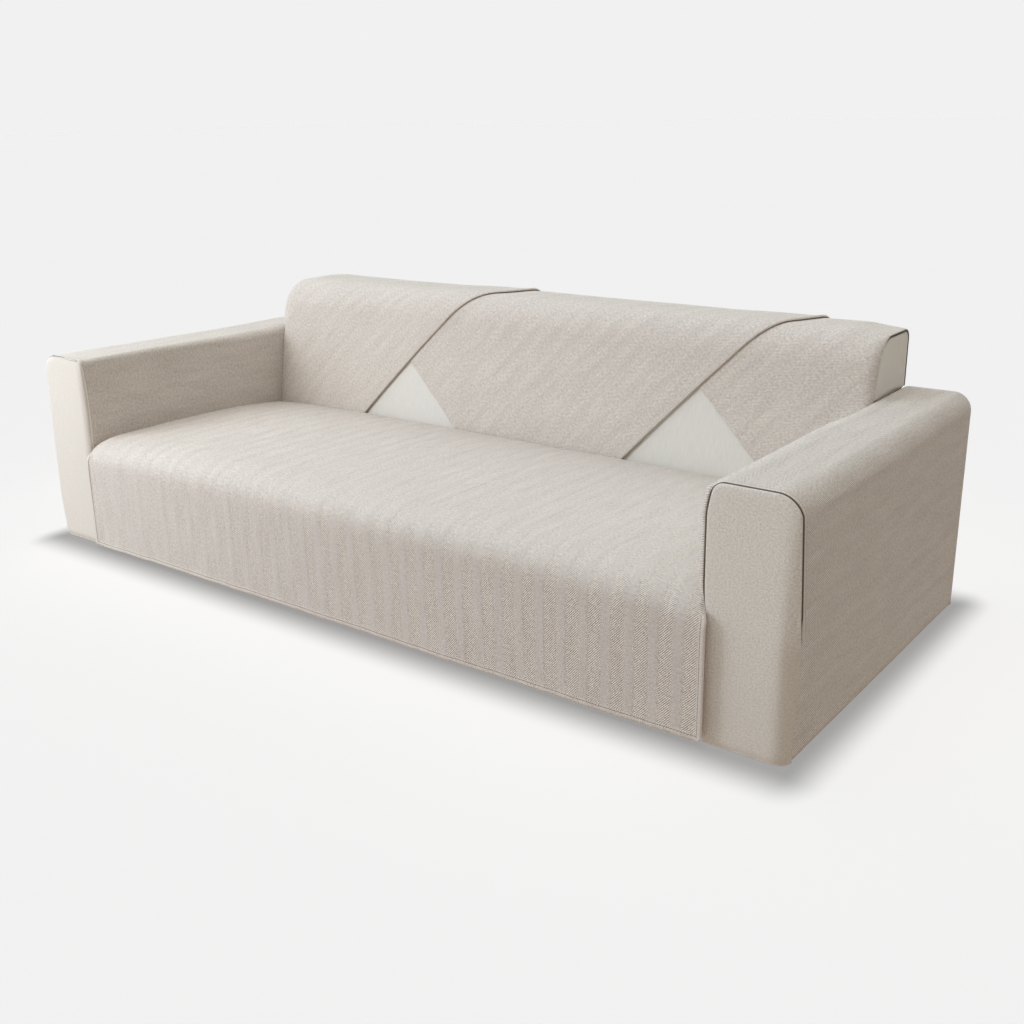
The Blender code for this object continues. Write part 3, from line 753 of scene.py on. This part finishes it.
def makeArmCover(label, side):
    outline = armOutline()
    normals = pathNormals(outline)
    lengths = pathLengths(outline)
    turnStart = cover["depth"] - arm["rearRadius"]
    alongs = makeStations(hemStations, rimStations, arm["stations"])
    turns = [(turnStart + arm["rearRadius"] * sin(angle),
              arm["rearRadius"] * (1 - cos(angle)))
             for angle in evenSteps(0.0, pi / 2, arm["rearSteps"])[1:]]
    turns += [(cover["depth"], inset) for inset in (0.016, 0.020, 0.0225, arm["rearTurn"])]

    def spot(at):
        column, row = at
        x, z = outline[column]
        if row >= len(alongs):
            return (*turns[row - len(alongs)], 1.0)
        seam = seamDepth(side, x, z)
        depth = stationAt(alongs[row], seam, turnStart, hemReach, rimReach)
        return depth, 0.0, depth - seam

    def place(at):
        column = at[0]
        x, z = outline[column]
        depth, inset, _away = spot(at)
        up = z - normals[column][1] * inset + frontRise(side, z, depth)
        x += sideShift(side, x, depth, z) - normals[column][0] * inset
        return (side * x, yAt(depth), up)

    def relief(at):
        column = at[0]
        x, z = outline[column]
        depth, inset, away = spot(at)
        if inset > 0:
            return 0.0
        lift = arm["hemShare"] * foldRelief(away, wideHem) if hemmed(side, x, z) else 0.0
        lift += arm["slack"] * softNoise(lengths[column], depth, arm["slackWidth"], 3.1 + side)
        lift += cornerFill(side, x, z, depth)
        if x < armMiddleX:
            shape = armShapes[side]
            swelling = sqrt(1 - (1 - min(away / shape["swellReach"], 1.0)) ** 2)
            swelling *= aboveSeat(depth, z) * ease((armTop - z) / 0.022)
            lift += shape["swell"] * swelling * (1 - ramp(depth, arm["swellEnd"]))
            lift += padding(side, x, depth, z)
        else:
            lift -= arm["footTuck"] * (1 - ramp(z, arm["footFade"]))
        return lift

    def weave(at):
        column = at[0]
        depth, inset, _away = spot(at)
        return (lengths[column], depth + inset)

    def edge(at):
        column = at[0]
        x, z = outline[column]
        _depth, _inset, away = spot(at)
        return (lengths[column] * side, away) if hemmed(side, x, z) else noHem

    sheet = makeSheet("armCover" + label, "herringbone", len(outline), len(alongs) + len(turns),
                      place, weave, relief, edge, side,
                      {mark: armShapes[side][mark] for mark in ("crisp", "stripes")})
    nodeName("armFront" + label)


def frontRoll(side, x, z):
    # 1 on the outline of the front, 0 where it lies flat
    shape = armShapes[side]
    if x < armMiddleX:
        radius, width = shape["topCorner"], shape["rollInner"]
        fromSide = x - armInnerX + padding(side, x, 0.0, z) - seamDrawn(side, x, z)
    else:
        radius, width = arm["outerRadius"], shape["rollOuter"]
        fromSide = halfWidth - x
    fromTop = armTop - z
    if fromSide < radius and fromTop < radius:
        a, b = radius - fromSide, radius - fromTop
        width = between(width, arm["rollTop"], atan2(b, a) * 2 / pi)
        share = (radius - hypot(a, b)) / width
    else:
        share = min(fromSide / width, fromTop / arm["rollTop"])
    return 1 - min(max(share, 0.0), 1.0)


def frontDepth(side, x, z):
    piped = (2 * arm["pipingRadius"] + 0.0003) * pipedShare(x, z)
    rim = seamDepth(side, x, z) - arm["rimGap"] - piped
    depth = rim * (1 - sqrt(1 - frontRoll(side, x, z) ** 2))
    return depth + arm["frontFootTuck"] * (1 - ramp(z, arm["frontFootFade"]))


def makeArmFront(label, side):
    rolls = [0.0, 0.0004, 0.0015, 0.0035, 0.006, 0.009, 0.012, 0.0155, 0.019, 0.0225, 0.026,
             0.030]
    columns = makeStations(rolls, rolls, 12)
    heights = [0.0, 0.001, 0.003, 0.006, 0.010, 0.015] + evenSteps(0.025, 0.500, 38)
    heights += [armTop - arm["outerRadius"] * (1 - sin(angle))
                for angle in evenSteps(0.0, pi / 2, 22)[2:-2]]
    heights += [armTop - below for below in (0.0006, 0.0)]

    def spot(at):
        column, row = at
        z = heights[row]
        inner = armInnerX + cornerDraw(armShapes[side]["topCorner"], z)
        inner += seamDrawn(side, armInnerX, z) - padding(side, armInnerX, 0.0, z)
        outer = halfWidth - cornerDraw(arm["outerRadius"], z)
        return stationAt(columns[column], inner, outer, rolls[-1], rolls[-1]), z

    def place(at):
        x, z = spot(at)
        depth = frontDepth(side, x, z)
        shifted = side * (x + sideShift(side, x, 0.0, z))
        return (shifted, yAt(depth), z + frontRise(side, z, depth))

    def relief(at):
        x, z = spot(at)
        return arm["frontSlack"] * softNoise(x, z, arm["frontSlackWidth"], 8.4 + side)

    def nearShade(at):
        # painted shade, deeper towards the inner and the outer foot, where the cream also runs
        # into the brushed cloth
        x, z = spot(at)
        atSide = ease((x - halfWidth + 0.050) / 0.050)
        inner = arm["innerShade"] * (1 - ramp(z, arm["innerShadeTop"]))
        outer = atSide * (1 - ramp(z, arm["outerShadeTop"]))
        return arm["topShade"] + between(inner, arm["outerShade"], outer)

    sheet = makeSheet("armFront" + label, "plain", len(columns), len(heights), place, spot,
                      relief, None, side, {"felted": armShapes[side]["felted"],
                                           "shade": nearShade if side > 0 else arm["farShade"]})
    sheet.modifiers["thickness"].use_even_offset = False
    nodeName("armCover" + label)


def makeArmRear(label, side):
    inset = arm["rearTurn"] + cover["seamGap"]
    radii = (max(arm["innerRadius"] - inset, 0.001), arm["outerRadius"] - inset)
    top = armTop - inset
    stepHeight = arm["tuckHeight"] - 2 * cover["seamGap"]
    heights = [*rimStations, *evenSteps(0.02, stepHeight - 0.002, 16)]
    heights += [stepHeight, stepHeight + 0.0005]
    heights += evenSteps(stepHeight + 0.004, top - radii[1], 18)
    heights += [top - radii[1] * (1 - sin(angle))
                for angle in evenSteps(0.0, pi / 2, 8)[1:]]
    columns = makeStations(rimStations, rimStations, 14)

    def spot(at):
        column, row = at
        z = heights[row]
        inner = armInnerX + (cover["seamGap"] if z <= stepHeight else inset)
        inner += cornerDraw(radii[0], z, top)
        outer = halfWidth - inset - cornerDraw(radii[1], z, top)
        return stationAt(columns[column], inner, outer, rimReach, rimReach), z

    def place(at):
        x, z = spot(at)
        return (side * x, yAt(cover["depth"]), z)

    sheet = makeSheet("armRear" + label, "plain", len(columns), len(heights), place, spot,
                      side=-side)
    nodeName("armCover" + label)


def makePiping(name, route, radii, palePart):
    curve = bpy.data.curves.new(name, "CURVE")
    curve.dimensions = "3D"
    curve.bevel_depth = arm["pipingRadius"]
    curve.bevel_resolution = 3
    curve.use_fill_caps = True
    spline = curve.splines.new("POLY")
    spline.points.add(len(route) - 1)
    for point, spot, radius in zip(spline.points, route, radii):
        point.co = (*spot, 1.0)
        point.radius = radius
    holder = bpy.data.objects.new(name + "Route", curve)
    scene.collection.objects.link(holder)
    drawn = holder.evaluated_get(bpy.context.evaluated_depsgraph_get())
    mesh = bpy.data.meshes.new_from_object(drawn)
    bpy.data.objects.remove(holder)
    mesh.name = name
    mesh.materials.clear()
    mesh.polygons.foreach_set("use_smooth", [True] * len(mesh.polygons))
    pale = mesh.attributes.new("pale", "FLOAT", "POINT")
    pale.data.foreach_set("value", [palePart(vertex.co) for vertex in mesh.vertices])
    addPiece(name, mesh, "piping")


def makeArmPiping(label, side):
    stations = [(x, z) for x, z in armOutline() if z > arm["tuckHeight"] + 0.001
                and (x < armMiddleX or z > arm["pipingEnd"])]
    lengths = pathLengths(stations)
    route, radii = [], []
    for (x, z), (nx, nz), length in zip(stations, pathNormals(stations), lengths):
        depth = seamDepth(side, x, z) - arm["pipingRadius"] - 0.0002
        clear = 1.0 if x > armMiddleX else aboveSeat(depth, z)
        proud = -0.5 if side < 0 and x < armMiddleX else -arm["pipingSink"]
        out = arm["pipingRadius"] * between(-arm["pipingSinkAtSeat"], proud, clear)
        toEnd = ease((lengths[-1] - length) / 0.03)
        out += padding(side, x, depth, z) - 0.5 * seamDrawn(side, x, z)
        out += cornerFill(side, x, z, depth)
        out -= arm["pipingRadius"] * arm["endSink"] * (1 - toEnd)
        bowed = x + nx * out + sideShift(side, x, depth, z)
        route.append((side * bowed, yAt(depth), z + nz * out + frontRise(side, z, depth)))
        radii.append(between(arm["endRadius"], 1.0, toEnd))

    def palePart(spot):
        return ease((armInnerX + 0.034 + spot.x) / 0.012) if side < 0 else 0.0

    makePiping("armPiping" + label, route, radii, palePart)


ends = (("Left", -1), ("Right", 1))
for label, side in ends:
    makeArmCover(label, side)
    makeArmFront(label, side)
    makeArmRear(label, side)
    makeArmPiping(label, side)
print("arms made")

# Back: a plain panel with three lapped herringbone pieces

back = {
    "footDepth": 0.7363, "footHeight": 0.250, "lipDepth": 0.8042,
    "frontRadius": 0.090, "rearRadius": 0.030, "cornerSteps": 14, "spacing": 0.013,
    "endHalfWidth": 1.030, "endRound": {-1: 0.042, 1: 0.030}, "leastEndRound": 0.0006,
    "endInsetFront": 0.018, "endInsetTop": {-1: 0.016, 1: 0.0035}, "endSteps": 9,
    "leanIn": 0.013, "endBulge": 0.0012, "endRows": 14, "pipingPaleTo": 0.830,
    "overArmGap": 0.0030, "endFloorGap": 0.0040, "endSeamGap": 0.0009,
    "wave": 0.0012, "waveFade": 0.10, "waveFadeAtEnds": 0.15, "swell": 0.008,
    "seatLine": 0.316, "edgeRise": 0.90, "edgeRiseOnTop": 0.44, "edgeRiseBehind": 0.15,
    "bendBehind": 0.600, "bendWidth": 0.045, "leftEdgeRise": -1.05, "overlap": 0.070,
    "pieceFoot": 0.286, "rearHem": 0.400, "hemShift": 0.0034, "slack": 0.0006,
    "layerGap": 0.0007, "stepStart": 0.085, "stepEnd": 0.280,
    # spans, as (start, length): across the back, up it, back from the front and up the path
    "leanAcross": (-0.90, -0.13), "leanUp": (0.585, 0.12), "endTurn": (0.797, 0.085),
    "swellFoot": (0.30, 0.12), "swellTop": (0.56, 0.08), "swellEnds": (1.02, -0.10),
}
# The laid pieces: where the left and right edge cross the seat line, how the right edge
# curves and where it bends over the top, how many columns the piece has, how clearly its
# stripes show, and the rectangle and area that it is cut to
backPieces = {
    "Left": {"right": -0.617, "curve": 0.26, "bendAt": 0.466, "columns": 45,
             "stripes": 0.20, "cut": (1.10, 0.95), "area": 0.62},
    "Middle": {"left": -0.2427, "under": "Left", "right": 0.3575, "curve": 0.17,
               "bendAt": 0.416, "columns": 75, "stripes": 0.35, "cut": (1.32, 0.95),
               "area": 0.85},
    "Right": {"left": 0.8065, "under": "Middle", "columns": 45, "stripes": 0.12,
              "cut": (0.95, 0.80), "area": 0.37},
}


def backPath():
    corners = [(back["footDepth"], back["footHeight"], 0.0),
               (back["lipDepth"], cover["backHeight"], back["frontRadius"]),
               (cover["depth"], cover["backHeight"], back["rearRadius"]),
               (cover["depth"], 0.0, 0.0)]
    return roundedPath(corners, back["cornerSteps"], back["spacing"])


def climbsAlong(path):
    lengths = pathLengths(path)
    for i, (start, end) in enumerate(zip(path, path[1:])):
        if start[1] <= back["seatLine"] <= end[1]:
            share = (back["seatLine"] - start[1]) / (end[1] - start[1])
            seatLine = between(lengths[i], lengths[i + 1], share)
            return [length - seatLine for length in lengths]
    return lengths


def backHalfWidth(z):
    if z <= roundStart:
        return seatHalfWidth
    drawn = cornerDraw(arm["innerRadius"], min(z, armTop))
    overArm = armInnerX + drawn - back["overArmGap"]
    return min(max(overArm, seatHalfWidth - cover["seamGap"]), back["endHalfWidth"])


def leanIn(x, z):
    # the left end leans in towards its top
    return x + back["leanIn"] * ramp(x, back["leanAcross"]) * ramp(z, back["leanUp"])


def endRound(side, z):
    share = (z - roundStart) / (arm["innerRadius"] - back["overArmGap"])
    return back["endRound"][side] * ease(share)


def endInset(side, depth):
    # how far the end seam lies behind the front face, and below the top
    share = ramp(depth, back["endTurn"])
    return between(back["endInsetFront"], back["endInsetTop"][side], share)


def backWave(x, climb):
    fade = ease(climb / back["waveFade"]) * ease((0.95 - climb) / back["waveFade"])
    fade *= ease((seatHalfWidth - abs(x)) / back["waveFadeAtEnds"])
    waves = sin(4.3 * x + 3.0 * climb) + 0.6 * sin(9.1 * x - 5.0 * climb)
    onTop = ramp(climb, back["swellFoot"]) * (1 - ramp(climb, back["swellTop"]))
    swell = back["swell"] * onTop * ramp(abs(x), back["swellEnds"])
    return back["wave"] * fade * waves + swell


def softlyPast(value):
    return (value + hypot(value, back["bendWidth"])) / 2


def rightEdge(name, climb):
    piece = backPieces[name]
    edge = piece["right"] + back["edgeRise"] * climb
    edge += piece["curve"] * min(climb, piece["bendAt"]) ** 2
    edge -= (back["edgeRise"] - back["edgeRiseOnTop"]) * softlyPast(climb - piece["bendAt"])
    behind = softlyPast(climb - back["bendBehind"])
    return edge - (back["edgeRiseOnTop"] - back["edgeRiseBehind"]) * behind


def edgeSlope(name, climb, step=0.001):
    return (rightEdge(name, climb + step) - rightEdge(name, climb - step)) / (2 * step)


def leftEdge(name, climb):
    piece = backPieces[name]
    inSight = piece["left"] + back["leftEdgeRise"] * climb
    return max(inSight, rightEdge(piece["under"], climb) - back["overlap"])


def makeBackPanel():
    outer = backPath()
    climbs = climbsAlong(outer)
    path = insetPath(outer, cloths["herringbone"]["thickness"] + back["layerGap"])
    columns = makeStations(rimStations, rimStations, 80)

    def spot(at):
        column, row = at
        depth, z = path[row]
        half = backHalfWidth(z)
        low, high = endRound(-1, z) - half, half - endRound(1, z)
        return stationAt(columns[column], low, high, rimReach, rimReach), depth, z

    def place(at):
        x, depth, z = spot(at)
        return (leanIn(x, z), yAt(depth), z)

    def relief(at):
        row = at[1]
        return backWave(spot(at)[0], climbs[row])

    def weave(at):
        row = at[1]
        return (spot(at)[0], climbs[row])

    def edge(at):
        row = at[1]
        return (spot(at)[0], max(climbs[-1] - climbs[row], 0.0))

    sheet = makeSheet("backPanel", "plain", len(columns), len(path), place, weave, relief,
                      edge)


def makeBackPiece(name):
    piece = backPieces[name]
    outer = backPath()
    overTop = outer.index(max(outer, key=lambda point: point[1]))
    front = [point for point in outer[:overTop] if point[1] > back["pieceFoot"]]
    rear = [point for point in outer[overTop:] if point[1] > back["rearHem"] + hemReach + 0.003]
    hem = [(cover["depth"], back["rearHem"] + away) for away in reversed(hemStations)]
    path = front + rear + hem
    normals = pathNormals(path)
    lengths = pathLengths(path)
    lean = atan2(back["lipDepth"] - back["footDepth"], cover["backHeight"] - back["footHeight"])
    seatLine = (back["seatLine"] - path[0][1]) / cos(lean)
    climbs = [length - seatLine for length in lengths]
    hasLeft, hasRight = "left" in piece, "right" in piece
    follows = name if hasRight else piece["under"]      # whose right edge the weave follows
    fromHigh = (*hemStations, 0.030, 0.040, 0.050, *evenSteps(0.060, 0.130, 10))
    fromHigh = fromHigh if hasRight else (0.0,)
    columns = makeStations(hemStations if hasLeft else (0.0,), fromHigh, piece["columns"])
    turn = evenSteps(0.0, pi / 2, back["endSteps"])[1:]
    if not hasLeft:
        columns = [(-1, angle) for angle in reversed(turn)] + columns
    if not hasRight:
        columns += [(1, angle) for angle in turn]
    diagonal = atan(back["edgeRise"])
    leftCos = cos(atan(back["leftEdgeRise"]))

    @cache
    def spot(at):
        column, row = at
        climb, z = climbs[row], path[row][1]
        half = backHalfWidth(z)
        radii = {side: max(endRound(side, z), back["leastEndRound"]) for side in (-1, 1)}
        kind, value = columns[column]
        if kind in radii:
            drop = endInset(kind, path[row][0]) * radii[kind] / back["endRound"][kind]
            x = kind * (half - radii[kind] * (1 - sin(value)))
            return x, -drop * (1 - cos(value)), 1.0, 1.0
        slopeCos = 1 / hypot(1, edgeSlope(follows, climb))
        low = leftEdge(name, climb) if hasLeft else radii[-1] - half
        high = rightEdge(name, climb) if hasRight else half - radii[1]
        value /= {"low": leftCos, "high": slopeCos}.get(kind, 1.0)
        lowReach = hemReach / leftCos if hasLeft else 0.0
        x = stationAt((kind, value), low, high, lowReach, fromHigh[-1] / slopeCos)
        lift = 0.0
        if hasRight:
            share = (high - x - back["stepStart"]) / (back["stepEnd"] - back["stepStart"])
            lift = cover["layerStep"] * (1 - ease(share))
        awayHigh = (high - x) * slopeCos if hasRight else 1.0
        awayLow = (x - low) * leftCos if hasLeft else 1.0
        return x, lift, awayLow, awayHigh

    def place(at):
        row = at[1]
        x, lift, _low, _high = spot(at)
        depth, z = path[row]
        across, up = normals[row]
        out = lift + backWave(x, climbs[row])
        return (leanIn(x, z), yAt(depth + across * out), z + up * out)

    def relief(at):
        row = at[1]
        x, _lift, awayLow, awayHigh = spot(at)
        awayRear = lengths[-1] - lengths[row]
        lift = foldRelief(awayHigh, slimHem) + foldRelief(awayLow, narrowHem)
        lift += foldRelief(awayRear, wideHem)
        calm = ease(awayLow / 0.10) * ease((seatHalfWidth - abs(x)) / 0.12)
        return lift + back["slack"] * calm * (1 + softNoise(x, climbs[row], 0.14, 2.2))

    def weave(at):
        row = at[1]
        x, climb = spot(at)[0], climbs[row]
        along = (x - backPieces["Middle"]["right"]) * sin(diagonal)
        return ((x - rightEdge(follows, climb)) * cos(diagonal),
                along + climb * cos(diagonal))

    def edge(at):
        row = at[1]
        x, _lift, _low, awayHigh = spot(at)
        return nearest((climbs[row], awayHigh + back["hemShift"]),
                       (x, lengths[-1] - lengths[row]))

    sheet = makeSheet("backPiece" + name, "herringbone", len(columns), len(path), place, weave,
                      relief, edge, 1, {"crisp": 0.35, "stripes": piece["stripes"]})


def endProfile(side, further, floor):
    above = []
    path = backPath()
    for (depth, z), (across, up) in zip(path, pathNormals(path)):
        inset = endInset(side, depth) + further
        if z - up * inset > floor + 0.003:
            above.append((depth - across * inset, z - up * inset))
    lean = (back["lipDepth"] - back["footDepth"]) / (cover["backHeight"] - back["footHeight"])
    frontAtFloor = above[0][0] - lean * (above[0][1] - floor)
    return [(frontAtFloor, floor)] + above + [(above[-1][0], floor)]


def makeBackEnd(label, side):
    drawn = arm["innerRadius"] - (back["endHalfWidth"] - armInnerX)
    floor = roundStart + sqrt(arm["innerRadius"] ** 2 - drawn ** 2) + back["endFloorGap"]
    toPiping = back["endSeamGap"] + arm["pipingRadius"]
    profile = endProfile(side, toPiping + arm["pipingRadius"] + 0.0002, floor)
    shares = [length / pathLengths(profile)[-1] for length in pathLengths(profile)]
    lastRow = back["endRows"] - 1

    def spot(at):
        column, row = at
        depth, z = profile[column]
        foot = between(profile[0][0], profile[-1][0], shares[column])
        return between(foot, depth, row / lastRow), between(floor, z, row / lastRow)

    def place(at):
        depth, z = spot(at)
        return (leanIn(side * (back["endHalfWidth"] - 0.0005), z), yAt(depth), z)

    def relief(at):
        column, row = at
        bulge = sin(pi * row / lastRow) * sin(pi * shares[column])
        return back["endBulge"] * bulge

    sheet = makeSheet("backEnd" + label, "plain", len(profile), back["endRows"], place, spot,
                      relief, None, side)
    nodeName("backPiece" + label)
    pipingX = side * (back["endHalfWidth"] - arm["pipingRadius"] / 2)
    paleTo = back["pipingPaleTo"]
    route = endProfile(side, toPiping, floor)
    radii = [between(0.45, 0.85, ease((depth - paleTo) / 0.05)) for depth, _z in route]
    makePiping("backPiping" + label, [(leanIn(pipingX, z), yAt(depth), z) for depth, z in route],
               radii, lambda spot: 1 - ease((spot.y - yAt(paleTo)) / 0.045))


makeBackPanel()
for name in backPieces:
    makeBackPiece(name)
for label, side in ends:
    makeBackEnd(label, side)
print("back made")

# Camera at the photograph's angle, with level floor and plain soft light

view = {
    "azimuth": 37.7537, "elevation": 18.2243, "roll": -1.1054,      # degrees
    "focal": 1186.83, "centre": (506.02, 502.89), "frame": 1024,    # pixels
    "location": (2.0271, -2.4354, 1.2325),
}


def makeCamera():
    around, high, roll = (radians(view[key]) for key in ("azimuth", "elevation", "roll"))
    behind = Vector((sin(around) * cos(high), -cos(around) * cos(high),
                     sin(high)))
    level = Vector((0, 0, 1)).cross(behind).normalized()
    up = behind.cross(level)
    right = level * cos(roll) + up * sin(roll)
    up = up * cos(roll) - level * sin(roll)
    data = bpy.data.cameras.new("studioCamera")
    data.sensor_width = 36.0
    data.lens = view["focal"] / view["frame"] * data.sensor_width
    data.shift_x = (view["frame"] / 2 - view["centre"][0]) / view["frame"]
    data.shift_y = (view["centre"][1] - view["frame"] / 2) / view["frame"]
    data.clip_end = 300.0
    camera = bpy.data.objects.new("studioCamera", data)
    turn = Matrix((right, up, behind)).transposed()
    camera.matrix_world = Matrix.Translation(Vector(view["location"])) @ turn.to_4x4()
    scene.collection.objects.link(camera)
    scene.camera = camera


studio = {
    "floorHeight": -0.001, "floorSize": 240.0, "backdrop": "#F1F1F1",
    "floor": "#C8C8C8", "shaded": "#868686",
    # the cover's foot, half its width and depth, and the shade round it, which fades more
    # quickly beside the arms than before the drop
    "foot": (1.21, 0.51, 1.0), "shadeFade": (1.35, 1.0, 1.0), "shadeStart": -0.008,
    "shadeEnd": 0.128,
    "glow": (0.502, 0.424, 0.353), "overhead": (4.77, radians(85)),
    # suns: the direction they come from, spread, W/m2 and colour
    "suns": {
        "leftWall": ((-1.0, 0.0, 0.3), radians(90), 0.93, (0.74, 1.00, 1.26)),
        "ceiling": ((0.0, 0.0, 1.0), radians(120), 1.99, (0.965, 1.003, 1.015)),
        "rearCeiling": ((0.0, 1.0, 1.0), radians(90), 0.67, (1.01, 1.04, 0.95)),
        "frontWall": ((0.0, -1.0, 0.5), radians(90), 0.383, (0.99, 1.00, 1.01)),
    },
    # soft boxes: place, what they point at, size, W and colour
    "boxes": {
        "nearBox": ((-1.6, -1.9, 1.5), (-0.6, 0.0, 0.4), 1.2, 24.3, (0.94, 1.00, 1.06)),
        "lowBox": ((-2.2, -2.2, 0.8), (-0.4, 0.0, 0.35), 1.2, 13.0, (0.83, 0.99, 1.18)),
    },
}


def addLamp(name, kind, spot, target, energy, colour, size, lit):
    lamp = bpy.data.lights.new(name, kind)
    lamp.energy = energy
    lamp.color = colour
    if kind == "SUN":
        lamp.angle = size
    else:
        lamp.size = size
    holder = bpy.data.objects.new(name, lamp)
    turn = (Vector(target) - Vector(spot)).to_track_quat("-Z", "Y")
    holder.matrix_world = Matrix.Translation(Vector(spot)) @ turn.to_matrix().to_4x4()
    scene.collection.objects.link(holder)
    holder.light_linking.receiver_collection = lit
    return lamp


def makeStudio():
    covers = bpy.data.collections.new("litCover")
    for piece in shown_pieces():
        covers.objects.link(piece)
    ground = bpy.data.collections.new("litFloor")
    mesh = bpy.data.meshes.new("floor")
    sheet = bmesh.new()
    bmesh.ops.create_grid(sheet, x_segments=1, y_segments=1, size=studio["floorSize"] / 2,
                          matrix=Matrix.Translation((0, 0, studio["floorHeight"])))
    sheet.to_mesh(mesh)
    sheet.free()
    floor = bpy.data.objects.new("floor", mesh)
    scene.collection.objects.link(floor)
    ground.objects.link(floor)
    # the glow from below stands for the floor's light
    floor.visible_diffuse = floor.visible_glossy = floor.visible_shadow = False
    # matt pale grey studio paint, with the soft contact shade round the cover's foot
    material, add, finish = newMaterial("paintedFloor")
    place = add("TexCoord", {})[3]
    fromMiddle = add("VectorMath", absolute, place)[0]
    fromFoot = add("VectorMath", minus, fromMiddle, studio["foot"])[0]
    beyondFoot = add("VectorMath", most, fromFoot)[0]
    scaled = add("VectorMath", times, beyondFoot, studio["shadeFade"])[0]
    distance = add("VectorMath", {"operation": "LENGTH"}, scaled)[1]
    clear = add("MapRange", {"interpolation_type": "SMOOTHSTEP"}, distance,
                studio["shadeStart"], studio["shadeEnd"])[0]
    paint = add("Mix", colourMix, {0: clear, 6: studio["shaded"], 7: studio["floor"]})[2]
    finish({"Base Color": paint, "Roughness": 1.0, "Specular IOR Level": 0.0})
    mesh.materials.append(material)

    energy, spread = studio["overhead"]
    overhead = addLamp("overhead", "SUN", (0, 0, 1), (0, 0, 0), energy, (1, 1, 1), spread, ground)
    overhead.use_shadow = False
    for name, (spot, spread, energy, colour) in studio["suns"].items():
        addLamp(name, "SUN", spot, (0, 0, 0), energy, colour, spread, covers)
    for name, (spot, target, size, energy, colour) in studio["boxes"].items():
        addLamp(name, "AREA", spot, target, energy, colour, size, covers)

    world = bpy.data.worlds.new("softRoom")
    scene.world = world
    world.use_nodes = True
    tree = world.node_tree
    glow = tree.nodes["Background"]
    direction = addNode(tree, "TexCoord", {})[0]
    height = addNode(tree, "SeparateXYZ", {}, direction)[2]
    under = addNode(tree, "Math", below, height, 0.0)[0]
    setInputs(tree, glow, {"Color": (*studio["glow"], 1.0), "Strength": under})
    seen = addNode(tree, "Background", {}, Color=studio["backdrop"])[0]
    toCamera = addNode(tree, "LightPath", {})[0]
    both = addNode(tree, "MixShader", {}, toCamera, glow.outputs[0], seen)[0]
    setInputs(tree, tree.nodes["World Output"], {0: both})
    scene.view_settings.view_transform = "Standard"


makeCamera()
makeStudio()
print("camera and studio made")
